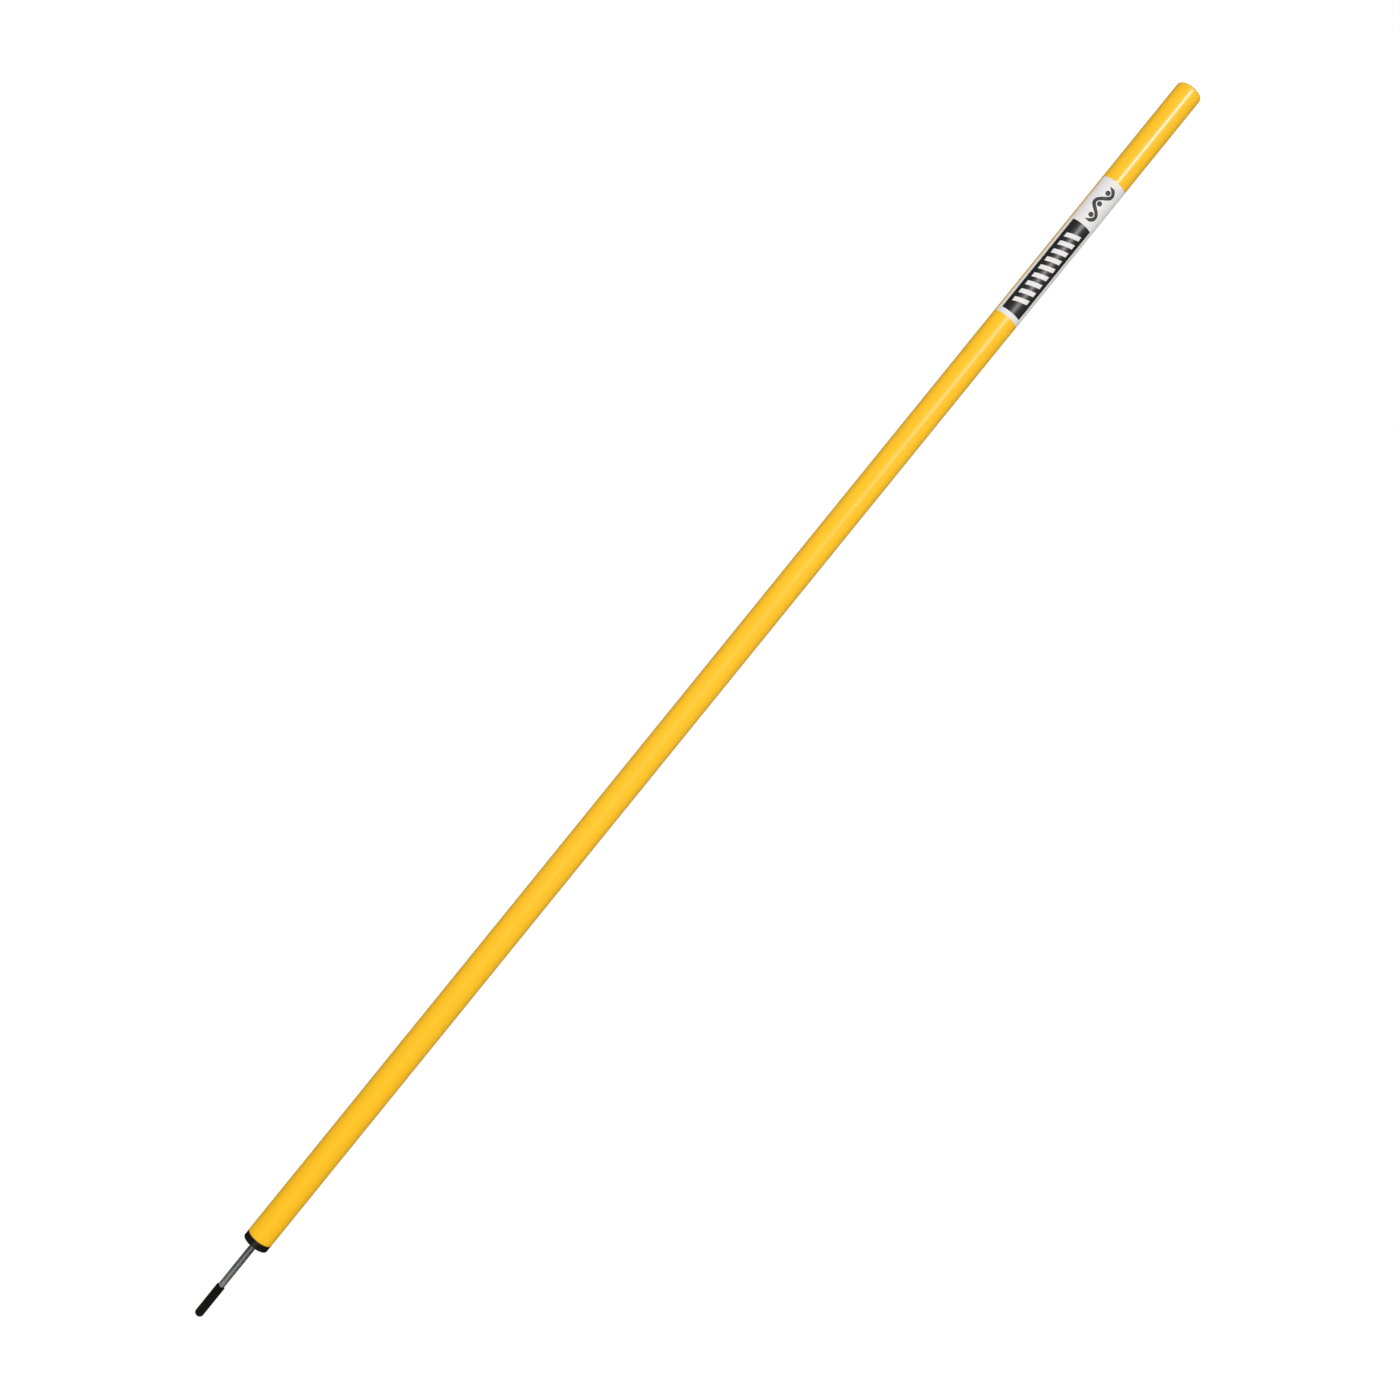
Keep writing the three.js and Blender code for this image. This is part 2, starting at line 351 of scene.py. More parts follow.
@dataclass(frozen=True)
class YellowPlastic(Finish):
    """Glossy yellow plastic with lines along the way it was drawn, and a few hairline scuffs."""

    gloss_range: Point
    line_depth: float
    darkened_end: float | None = None
    colour: Colour = linear(254, 196, 25)
    deep_colour: Colour = linear(254, 192, 22)
    # Painted shade: a deeper yellow for the lowest stretch of the pole
    foot_shade_colour: Colour = linear(254, 193, 2)
    foot_shade_reach: float = 0.75
    joint_brown: Colour = linear(92, 62, 14)
    joint_brown_reach: float = 2.0 * MM
    joint_brown_edge: Cloud = Cloud(2.5 * MM, detail=4)
    lines: Cloud = Cloud(1.1 * MM, (1, 1, 0.012), 4)
    patches: Cloud = Cloud(60 * MM, (1, 1, 0.4), 2)
    line_share: float = 0.4
    deepening: Point = (0.35, 0.75)
    scuffs: Cloud = Cloud(0.9 * MM, (1, 1, 0.05), 6)
    scuff_edge: Point = (0.72, 0.8)
    scuff_dulling: float = 0.12
    swell: Cloud = Cloud(9 * MM, (1, 1, 0.3), 1)
    swell_share: float = 15.0
    specular: float = 0.64
    gleam_tint: Colour = (0.62, 0.62, 1.0)

    def inputs(self, wiring: SurfaceWiring) -> Feeds:
        """Colour deepens toward the foot as painted shade, gloss varies with the scuffs, and relief with the
        lines.

        Args:
            wiring: adds nodes to the material.

        Returns:
            What each of the shader's inputs gets, by name.
        """
        lines, patches = wiring.cloud(self.lines), wiring.cloud(self.patches)
        shade = lines * self.line_share + patches * (1 - self.line_share)
        colour = wiring.blend(wiring.step(shade, *self.deepening), self.colour, self.deep_colour)
        # Painted shade: the yellow deepens over the pole's lowest stretch, standing in for the weaker light
        # there.
        upper = wiring.step(wiring.height(), 0.0, self.foot_shade_reach)
        colour = wiring.blend(upper, self.foot_shade_colour, colour)
        # A darker brown band along the joint at the given end, thinning out above it.
        if self.darkened_end is not None:
            colour = wiring.blend(self.joint_browning(wiring, self.darkened_end), colour, self.joint_brown)
        scuffs = wiring.step(wiring.cloud(self.scuffs), *self.scuff_edge) * self.scuff_dulling
        coarse = wiring.relief(wiring.cloud(self.swell), self.swell_share * self.line_depth)
        return {
            "Base Color": colour,
            "Roughness": wiring.math("ADD", wiring.spread(patches, *self.gloss_range), scuffs, clamp=True),
            "Normal": wiring.relief(lines, self.line_depth, over=coarse),
            "Specular IOR Level": self.specular,
            "Specular Tint": self.gleam_tint,
        }

    def joint_browning(self, wiring: SurfaceWiring, end: float) -> Signal:
        """Returns how far the colour turns darker brown along a joint at a height, thinning out above it."""
        height = wiring.height() - wiring.cloud(self.joint_brown_edge) * self.joint_brown_reach
        return 1.0 - wiring.step(height, end - self.joint_brown_reach, end + self.joint_brown_reach / 2)


@dataclass(frozen=True)
class BlackMoulding(Finish):
    """Black plastic from a spark-eroded mould: a fine grain with a satin gloss and faint rub marks."""

    colour: Colour = linear(22, 17, 9)
    rubbed_share: float = 2.4
    rubs: Cloud = Cloud(2.2 * MM, (1, 1, 3), 5)
    rub_edge: Point = (0.6, 0.8)
    patches: Cloud = Cloud(9 * MM)
    gloss_range: Point = (0.28, 0.4)
    grain: Cloud = Cloud(0.35 * MM, detail=2)
    grain_depth: float = 0.006 * MM
    specular: float = 0.65

    def inputs(self, wiring: SurfaceWiring) -> Feeds:
        """Rub marks are paler, patches differ in gloss, and the grain is even.

        Args:
            wiring: adds nodes to the material.

        Returns:
            What each of the shader's inputs gets, by name.
        """
        rubbed = tuple(self.rubbed_share * channel for channel in self.colour)
        rubs = wiring.step(wiring.cloud(self.rubs), *self.rub_edge)
        return {
            "Base Color": wiring.blend(rubs, self.colour, rubbed),
            "Roughness": wiring.spread(wiring.cloud(self.patches), *self.gloss_range),
            "Normal": wiring.relief(wiring.cloud(self.grain), self.grain_depth),
            "Specular IOR Level": self.specular,
        }


@dataclass(frozen=True)
class DippedRubber(Finish):
    """Dull black rubber with a little dust in its skin."""

    colour: Colour = linear(11, 7, 4)
    dust: Colour = linear(22, 17, 12)
    specks: Cloud = Cloud(0.35 * MM)
    speck_edge: Point = (0.62, 0.74)
    skin: Cloud = Cloud(0.8 * MM, detail=4)
    skin_depth: float = 0.03 * MM
    gloss_range: Point = (0.5, 0.66)
    specular: float = 0.17

    def inputs(self, wiring: SurfaceWiring) -> Feeds:
        """A soft uneven skin with fine dust.

        Args:
            wiring: adds nodes to the material.

        Returns:
            What each of the shader's inputs gets, by name.
        """
        skin = wiring.cloud(self.skin)
        specks = wiring.step(wiring.cloud(self.specks), *self.speck_edge)
        return {
            "Base Color": wiring.blend(specks, self.colour, self.dust),
            "Roughness": wiring.spread(skin, *self.gloss_range),
            "Normal": wiring.relief(skin, self.skin_depth),
            "Specular IOR Level": self.specular,
        }


@dataclass(frozen=True)
class DrawnSteel(Finish):
    """Dull steel rod: fine lines along the drawn length, and turned rings on what a lathe has cut."""

    turned_below: float
    turned_above: float
    colour: Colour = (0.5, 0.52, 0.48)
    oxide: Colour = (0.38, 0.395, 0.36)
    patches: Cloud = Cloud(5 * MM, (1, 1, 0.35), 5)
    oxide_edge: Point = (0.5, 0.78)
    gloss_range: Point = (0.31, 0.42)
    drawn: Cloud = Cloud(0.22 * MM, (1, 1, 0.02))
    rings: Cloud = Cloud(0.3 * MM, (0.02, 0.02, 1), 2)
    mark_depth: float = 0.0015 * MM
    soft: float = 0.2 * MM
    bareness: float = 0.95

    def inputs(self, wiring: SurfaceWiring) -> Feeds:
        """Lines or rings by height, with dull patches of oxide.

        Args:
            wiring: adds nodes to the material.

        Returns:
            What each of the shader's inputs gets, by name.
        """
        middle = wiring.between(wiring.height(), self.turned_below, self.turned_above, self.soft)
        marks = wiring.cloud(self.drawn) * middle + wiring.cloud(self.rings) * (1.0 - middle)
        patches = wiring.cloud(self.patches)
        return {
            "Base Color": wiring.blend(wiring.step(patches, *self.oxide_edge), self.colour, self.oxide),
            "Roughness": wiring.spread(patches, *self.gloss_range),
            "Normal": wiring.relief(marks, self.mark_depth),
            "Metallic": self.bareness,
        }


@dataclass(frozen=True)
class Mottled(Finish):
    """A plain surface whose colour, gloss and relief vary together, such as zinc plate or natural nylon."""

    colour: Colour
    darker_share: float
    mottle: Cloud
    gloss_range: Point
    metallic: float
    depth: float = 0.01 * MM

    def inputs(self, wiring: SurfaceWiring) -> Feeds:
        """One pattern for colour, gloss and relief.

        Args:
            wiring: adds nodes to the material.

        Returns:
            What each of the shader's inputs gets, by name.
        """
        mottle = wiring.cloud(self.mottle)
        darker = tuple(self.darker_share * channel for channel in self.colour)
        return {
            "Base Color": wiring.blend(mottle, self.colour, darker),
            "Roughness": wiring.spread(mottle, *self.gloss_range),
            "Normal": wiring.relief(mottle, self.depth),
            "Metallic": self.metallic,
        }


@dataclass(frozen=True)
class PrintLayout:
    """Where the print lies: heights from the label's lower edge, widths round the tube from its middle."""

    place: str = "print_place"
    middle_turn: float = math.radians(3.5)
    soft: float = 0.07 * MM
    panel_width: float = 27.9 * MM
    panel_start: float = 6.4 * MM
    panel_length: float = 128.2 * MM
    bar_count: int = 9
    bar_pitch: float = 11.6 * MM
    bar_width: float = 17.5 * MM
    bar_share: float = 0.5
    bar_slant: float = 0.35
    weave_start: float = 141.5 * MM
    weave_length: float = 46.0 * MM
    weave_waves: float = 1.5
    weave_reach: float = 6.4 * MM
    weave_line: float = 4.2 * MM
    dot_radius: float = 3.0 * MM


@dataclass(frozen=True)
class PrintedFilm(Finish):
    """White vinyl film with a black panel of slanted bars, and a line that weaves between dots."""

    layout: PrintLayout = PrintLayout()
    white: Colour = linear(224, 222, 221)
    shade_share: float = 0.98
    black: Colour = (0.019, 0.018, 0.019)
    grey: Colour = linear(48, 50, 51)
    mottle: Cloud = Cloud(3 * MM, detail=4)
    gloss_range: Point = (0.7, 0.74)
    ink_gloss: float = 0.29
    ripple: Cloud = Cloud(14 * MM, detail=1)
    ripple_depth: float = 0.02 * MM
    grain: Cloud = Cloud(0.4 * MM, detail=2)
    grain_depth: float = 0.001 * MM
    refraction: float = 1.75
    specular: float = 0.5

    def inputs(self, wiring: SurfaceWiring) -> Feeds:
        """Prints the panel and the weave, and gives ink and film each its gloss.

        Args:
            wiring: adds nodes to the material.

        Returns:
            What each of the shader's inputs gets, by name.
        """
        spot = wiring.output("ShaderNodeAttribute", key="Vector", attribute_name=self.layout.place)
        across, along, _ = wiring.split(spot)
        ink = self.panel(wiring, across, along) * (1.0 - self.bars(wiring, across, along))
        mottle = wiring.cloud(self.mottle)
        shade = tuple(self.shade_share * channel for channel in self.white)
        film = wiring.blend(mottle, self.white, shade)
        film = wiring.blend(ink, film, self.black)
        ripple = wiring.relief(wiring.cloud(self.ripple), self.ripple_depth)
        return {
            "Base Color": wiring.blend(self.weave(wiring, across, along), film, self.grey),
            "Roughness": wiring.spread(mottle, *self.gloss_range) - ink * self.ink_gloss,
            "Normal": wiring.relief(wiring.cloud(self.grain), self.grain_depth, over=ripple),
            "IOR": self.refraction,
            "Specular IOR Level": self.specular,
        }

    def panel(self, wiring: Wiring, across: Signal, along: Signal) -> Signal:
        """Lays the black panel.

        Args:
            wiring: adds nodes to the material.
            across: width round the tube from the label's middle.
            along: height from the label's lower edge.

        Returns:
            1 on the panel and 0 beside it.
        """
        plan = self.layout
        wide = wiring.between(across, -plan.panel_width / 2, plan.panel_width / 2, plan.soft)
        end = plan.panel_start + plan.panel_length
        return wide * wiring.between(along, plan.panel_start, end, plan.soft)

    def bars(self, wiring: Wiring, across: Signal, along: Signal) -> Signal:
        """Lays slanted bars in the middle of the panel's length.

        Args:
            wiring: adds nodes to the material.
            across: width round the tube from the label's middle.
            along: height from the label's lower edge.

        Returns:
            1 on the bars and 0 beside them.
        """
        plan = self.layout
        run = plan.bar_pitch * (plan.bar_count - 1 + plan.bar_share)
        start = plan.panel_start + (plan.panel_length - run) / 2
        turns = (along - across * plan.bar_slant - start) / plan.bar_pitch
        gap = 1 - plan.bar_share
        soft = plan.soft / plan.bar_pitch
        centred = wiring.math("WRAP", turns, 1 - gap / 2, -gap / 2)
        row = wiring.between(turns, -gap / 2, plan.bar_count - gap / 2, soft)
        wide = wiring.between(across, -plan.bar_width / 2, plan.bar_width / 2, plan.soft)
        return wiring.between(centred, 0.0, plan.bar_share, soft) * row * wide

    def weave(self, wiring: Wiring, across: Signal, along: Signal) -> Signal:
        """Lays a weaving line and the dots that it passes.

        Args:
            wiring: adds nodes to the material.
            across: width round the tube from the label's middle.
            along: height from the label's lower edge.

        Returns:
            1 on the line and the dots and 0 beside them.
        """
        plan = self.layout
        pace = FULL_TURN * plan.weave_waves / plan.weave_length
        along = along - plan.weave_start
        turn = along * pace
        off = across - wiring.math("SINE", turn) * plan.weave_reach
        slope = wiring.math("COSINE", turn) * (plan.weave_reach * pace)
        away = wiring.math("ABSOLUTE", off) / wiring.math("SQRT", slope * slope + 1.0)
        bay = plan.weave_length / plan.weave_waves / 2
        from_dot = wiring.math("WRAP", along - bay / 2, bay / 2, -bay / 2)
        distance = wiring.math("SQRT", from_dot * from_dot + across * across)
        line = wiring.under(away, plan.weave_line / 2, plan.soft)
        dot = wiring.under(distance, plan.dot_radius, plan.soft)
        run = wiring.between(along, 0.0, plan.weave_length, plan.soft)
        return wiring.math("MAXIMUM", line, dot) * run


# Turned shapes


def arc(centre: Point, size: float, start: float, end: float, steps: int) -> list[Point]:
    """Returns points along an arc of an outline, with its ends given in degrees."""
    angles = (math.radians(start + (end - start) * step / steps) for step in range(steps + 1))
    return [(centre[0] + size * math.cos(angle), centre[1] + size * math.sin(angle)) for angle in angles]


def rounded(corners: Sequence[Corner], closed: bool) -> list[Point]:
    """Rounds the corners of an outline.

    On a long straight run a point stands close to the rounding, so that its shading ends there.

    Args:
        corners: radius, height and rounding of each corner, with the outer side running upwards.
        closed: whether the last corner joins the first.

    Returns:
        The outline's points.
    """
    points: list[Point] = []
    for index, (radius, height, rounding) in enumerate(corners):
        here = Vector((radius, height))
        if rounding == 0 or (not closed and index in (0, len(corners) - 1)):
            points.append((radius, height))
            continue
        back = Vector(corners[index - 1][:2]) - here
        ahead = Vector(corners[(index + 1) % len(corners)][:2]) - here
        half = back.angle(ahead) / 2
        reach = min(rounding / math.tan(half), ROUNDING_SHARE * back.length, ROUNDING_SHARE * ahead.length)
        size = reach * math.tan(half)
        centre = here + (back.normalized() + ahead.normalized()).normalized() * size / math.sin(half)
        start, end = (here + run.normalized() * reach - centre for run in (back, ahead))
        first = math.atan2(start.y, start.x)
        turn = (math.atan2(end.y, end.x) - first + math.pi) % FULL_TURN - math.pi
        stand = reach + size
        before, after = (
            [tuple(here + run.normalized() * stand)] if run.length > LONG_RUN * stand else []
            for run in (back, ahead)
        )
        bend = arc(centre, size, math.degrees(first), math.degrees(first + turn), ROUNDING_STEPS)
        points.extend([*before, *bend, *after])
    return points


def ring_outline(inner: float, outer: float, low: float, high: float, edge: float) -> list[Point]:
    """Returns the outline of a tube or a flat ring with its four edges broken."""
    corners = [(inner, low, edge), (outer, low, edge), (outer, high, edge), (inner, high, edge)]
    return rounded(corners, closed=True)


def divided(points: Sequence[Point], longest: float, closed: bool) -> list[Point]:
    """Adds points to an outline until no stretch is longer than a given length.

    Args:
        points: the outline's points.
        longest: the longest stretch that stays whole.
        closed: whether the last point joins the first.

    Returns:
        The outline with its added points.
    """
    result: list[Point] = []
    following = [*points[1:], points[0]] if closed else points[1:]
    for (radius, height), (next_radius, next_height) in zip(points, following):
        out, up = next_radius - radius, next_height - height
        parts = max(1, math.ceil(math.hypot(out, up) / longest))
        result.extend((radius + out * (part / parts), height + up * (part / parts)) for part in range(parts))
    return result if closed else [*result, points[-1]]


def new_mesh(name: str, vertices: Sequence[Sequence[float]], faces: Sequence[Face]) -> bpy.types.Mesh:
    """Makes a mesh.

    Args:
        name: its name.
        vertices: the place of each point.
        faces: the numbers of each face's points, with the face outward.

    Returns:
        The mesh.
    """
    mesh = bpy.data.meshes.new(name)
    mesh.from_pydata(vertices, [], faces)
    return mesh


def turned(points: Sequence[Point], segments: int, closed: bool) -> bpy.types.Mesh:
    """Turns an outline about the pole's axis into a closed mesh.

    Args:
        points: radius and height of each point, with the outer side running upwards. An open outline
            starts and ends on the axis.
        segments: the number of facets round the axis.
        closed: whether the last point joins the first.

    Returns:
        The mesh, with smooth shading and sharp edges where the outline has a corner.
    """
    vertices: list[Corner] = []
    rings: list[Sequence[int]] = []
    angles = [FULL_TURN * segment / segments for segment in range(segments)]
    for radius, height in points:
        start = len(vertices)
        if radius < ON_AXIS:
            vertices.append((0.0, 0.0, height))
        else:
            vertices.extend((radius * math.cos(a), radius * math.sin(a), height) for a in angles)
        rings.append(range(start, len(vertices)))
    faces: list[Face] = []
    for low, high in zip(rings, [*rings[1:], rings[0]] if closed else rings[1:]):
        for here, ahead in zip(range(segments), [*range(1, segments), 0]):
            corners = (low[here % len(low)], low[ahead % len(low)])
            corners += (high[ahead % len(high)], high[here % len(high)])
            faces.append(tuple(dict.fromkeys(corners)))
    return shaded(new_mesh("turned", vertices, faces))


def shaded(mesh: bpy.types.Mesh) -> bpy.types.Mesh:
    """Gives a mesh smooth shading, with sharp edges at its corners.

    Args:
        mesh: the mesh, which is changed.

    Returns:
        The same mesh.
    """
    mesh.shade_smooth()
    mesh.set_sharp_from_angle(angle=SHARP_CORNER)
    mesh.validate()
    return mesh


def added(name: str, data: bpy.types.ID) -> bpy.types.Object:
    """Adds an object to the scene.

    Args:
        name: the object's name.
        data: its mesh, lamp or camera.

    Returns:
        The object.
    """
    made = bpy.data.objects.new(name, data)
    bpy.context.scene.collection.objects.link(made)
    return made


# Geometry Nodes


class ShapeTree(ABC):
    """A Geometry Nodes tree with named inputs, which is run once on a mesh."""

    title: str
    sizes: Sequence[str]
    counts: Sequence[str] = ()

    def __init__(self) -> None:
        """Builds the tree: its sockets, its own nodes, and the two that end it."""
        self.tree = bpy.data.node_groups.new(self.title, "GeometryNodeTree")
        self.tree.is_modifier = True
        kinds = {"Geometry": "Geometry", **dict.fromkeys(self.counts, "Int")}
        kinds |= {**dict.fromkeys(self.sizes, "Float"), "Material": "Material"}
        for name, kind in kinds.items():
            self.tree.interface.new_socket(name, in_out="INPUT", socket_type=f"NodeSocket{kind}")
        self.tree.interface.new_socket("Geometry", in_out="OUTPUT", socket_type="NodeSocketGeometry")
        wiring = Wiring(self.tree)
        sockets = wiring.node("NodeGroupInput").outputs
        given = {name: Signal(wiring, sockets[name]) for name in kinds}
        real = wiring.output("GeometryNodeRealizeInstances", {"Geometry": self.wire(wiring, given)})
        feeds = {"Geometry": real, "Material": given["Material"]}
        wiring.node("NodeGroupOutput", {"Geometry": wiring.output("GeometryNodeSetMaterial", feeds)})

    @abstractmethod
    def wire(self, wiring: Wiring, given: dict[str, Signal]) -> Signal:
        """Adds the tree's own nodes.

        Args:
            wiring: adds nodes to the tree.
            given: the tree's inputs, by name.

        Returns:
            The finished geometry.
        """

    def run(self, mesh: bpy.types.Mesh, material: bpy.types.Material, **values: float) -> bpy.types.Mesh:
        """Runs the tree on a mesh.

        Args:
            mesh: the mesh that the tree starts from.
            material: the material that the result gets.
            values: each other input by its name in lower case, with _ for a space.

        Returns:
            The new plain mesh.
        """
        holder = added(self.title, mesh)
        modifier = holder.modifiers.new(self.title, "NODES")
        modifier.node_group = self.tree
        settings = {"material": material, **values}
        for item in self.tree.interface.items_tree:
            key = item.name.lower().replace(" ", "_")
            if item.in_out == "INPUT" and key in settings:
                modifier[item.identifier] = settings[key]
        bpy.context.view_layer.update()
        evaluated = holder.evaluated_get(bpy.context.evaluated_depsgraph_get())
        result = bpy.data.meshes.new_from_object(evaluated)
        bpy.data.objects.remove(holder)
        return shaded(result)


class RadialBars(ShapeTree):
    """Bars spaced evenly round the axis and joined to a turned body: the plug's webs, the cap's ribs."""

    title = "Radial bars"
    counts = ("Count",)
    sizes = ("Inner Radius", "Outer Radius", "Width", "Bottom", "Top")

    def wire(self, wiring: Wiring, given: dict[str, Signal]) -> Signal:
        """Makes one bar, repeats it round the axis and joins all to the body.

        Args:
            wiring: adds nodes to the tree.
            given: the tree's inputs, by name.

        Returns:
            The body with its bars.
        """
        body, count, inner, outer, width, bottom, top, _ = given.values()
        size = wiring.vector(outer - inner, width, top - bottom)
        middle = wiring.vector((inner + outer) * 0.5, 0.0, (bottom + top) * 0.5)
        feeds = {"Geometry": wiring.output("GeometryNodeMeshCube", {"Size": size}), "Translation": middle}
        bar = wiring.output("GeometryNodeTransform", feeds)
        spin = wiring.vector(0.0, 0.0, wiring.output("GeometryNodeInputIndex") / count * FULL_TURN)
        spots = wiring.output("GeometryNodePoints", {"Count": count})
        feeds = {"Points": spots, "Instance": bar, "Rotation": spin}
        ring = wiring.output("GeometryNodeInstanceOnPoints", feeds)
        bars = wiring.output("GeometryNodeRealizeInstances", {"Geometry": ring})
        union = wiring.node("GeometryNodeMeshBoolean", {"Mesh 2": body}, operation="UNION", solver="EXACT")
        wiring.tree.links.new(bars.socket, wiring.pick(union.inputs, "Mesh 2"))
        return Signal(wiring, union.outputs[0])


@dataclass(frozen=True)
class Spot:
    """Where a point of a turned body is: its height, its distance from the axis, and its turn in radians."""

    height: Signal
    radius: Signal
    angle: Signal


class RadialShift(ShapeTree):
    """Moves the points of a turned body towards its axis."""

    def wire(self, wiring: Wiring, given: dict[str, Signal]) -> Signal:
        """Moves each point along its radius.

        Args:
            wiring: adds nodes to the tree.
            given: the tree's inputs, by name.

        Returns:
            The reshaped body.
        """
        across, deep, height = wiring.split(wiring.output("GeometryNodeInputPosition"))
        flat = wiring.vector(across, deep)
        radius = wiring.output("ShaderNodeVectorMath", {0: flat}, "Value", operation="LENGTH")
        share = self.share(wiring, given, Spot(height, radius, wiring.math("ARCTAN2", deep, across)))
        offset = wiring.output("ShaderNodeVectorMath", {0: flat, "Scale": share}, operation="SCALE")
        return wiring.output("GeometryNodeSetPosition", {"Geometry": given["Geometry"], "Offset": offset})

    @abstractmethod
    def share(self, wiring: Wiring, given: dict[str, Signal], spot: Spot) -> Signal:
        """Works out how far a point moves.

        Args:
            wiring: adds nodes to the tree.
            given: the tree's inputs, by name.
            spot: where the point is.

        Returns:
            The move, as a share of the radius; under 0 is inwards.
        """


class RolledThread(RadialShift):
    """A screw thread pressed into the outside of a round shank."""

    title = "Rolled thread"
    sizes = ("Pitch", "Depth", "Start", "End", "Fade")
    flank_shares = (0.12, 0.88)

    def share(self, wiring: Wiring, given: dict[str, Signal], spot: Spot) -> Signal:
        """Draws a point in by the thread's depth at its turn.

        Args:
            wiring: adds nodes to the tree.
            given: the tree's inputs, by name.
            spot: where the point is.

        Returns:
            The move, as a share of the radius.
        """
        _, pitch, depth, start, end, fade, _ = given.values()
        turns = spot.height / pitch - spot.angle / FULL_TURN
        groove = wiring.math("PINGPONG", turns, 0.5) * 2.0
        groove = wiring.step(groove, *self.flank_shares, smooth=False)
        into = wiring.step(spot.height, start, start + fade, smooth=False)
        out = 1.0 - wiring.step(spot.height, end - fade, end, smooth=False)
        return into * out * depth * groove / wiring.math("MAXIMUM", spot.radius, depth) * -1.0


class HexagonCut(RadialShift):
    """Six flats with chamfered corners, cut into the widest part of a turned body."""

    title = "Hexagon cut"
    sizes = ("Across Flats", "Chamfer", "Bottom", "Top", "Least Radius")
    half_flat = math.pi / 6

    def share(self, wiring: Wiring, given: dict[str, Signal], spot: Spot) -> Signal:
        """Draws an outer point in to the nearest flat or chamfer.

        Args:
            wiring: adds nodes to the tree.
            given: the tree's inputs, by name.
            spot: where the point is.

        Returns:
            The move, as a share of the radius.
        """
        _, flats, chamfer, bottom, top, least_radius, _ = given.values()
        apothem = flats * 0.5
        turn = wiring.math("WRAP", spot.angle, self.half_flat, -self.half_flat)
        hexagon = apothem / wiring.math("COSINE", turn)
        from_end = wiring.math("MINIMUM", top - spot.height, spot.height - bottom)
        cone = apothem / math.cos(self.half_flat) - chamfer + from_end + from_end
        limit = wiring.math("MINIMUM", wiring.math("MINIMUM", hexagon, cone), spot.radius)
        return (limit / spot.radius - 1.0) * wiring.math("GREATER_THAN", spot.radius, least_radius)


# Pieces


@dataclass
class Fit:
    """Sizes that several pieces share, in metres. The tube's ends and radius are read from the frame."""

    tube_low: Vector = field(default_factory=lambda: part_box("pole_tube")[0])
    tube_high: Vector = field(default_factory=lambda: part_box("pole_tube")[1])
    tube_wall: float = 1.8 * MM
    press_gap: float = 0.1 * MM
    rod_radius: float = 4.0 * MM
    thread_radius: float = 3.0 * MM
    thread_gap: float = 0.2 * MM

    @property
    def tube_radius(self) -> float:
        """Outside radius of the tube."""
        return self.tube_high.x

    @property
    def bore_radius(self) -> float:
        """Inside radius of the tube."""
        return self.tube_radius - self.tube_wall

    @property
    def grip_radius(self) -> float:
        """Radius of what is pressed into the tube."""
        return self.bore_radius - self.press_gap

    @property
    def thread_hole(self) -> float:
        """Radius of a hole that the thread goes through."""
        return self.thread_radius + self.thread_gap

    @property
    def rod_hole(self) -> float:
        """Radius of a hole that the rod sits in."""
        return self.rod_radius + self.press_gap


def place_piece(name: str, mesh: bpy.types.Mesh, finish: Finish, body: Body, slot: Slot, node: str) -> None:
    """Adds a finished piece that stands for a node of the frame.

    Args:
        name: the piece's name.
        mesh: its mesh, in place.
        finish: how it looks.
        body: what it moves with.
        slot: the record's material slot; not used.
        node: the node that it stands for.
    """
    mesh.name = name
    mesh.materials.clear()
    mesh.materials.append(finish.material())
    piece = added(name, mesh)
    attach(piece, body.value)
    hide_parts(node)
    LOG.info("%s: %d faces, stands for %s on %s", name, len(mesh.polygons), node, body.value)


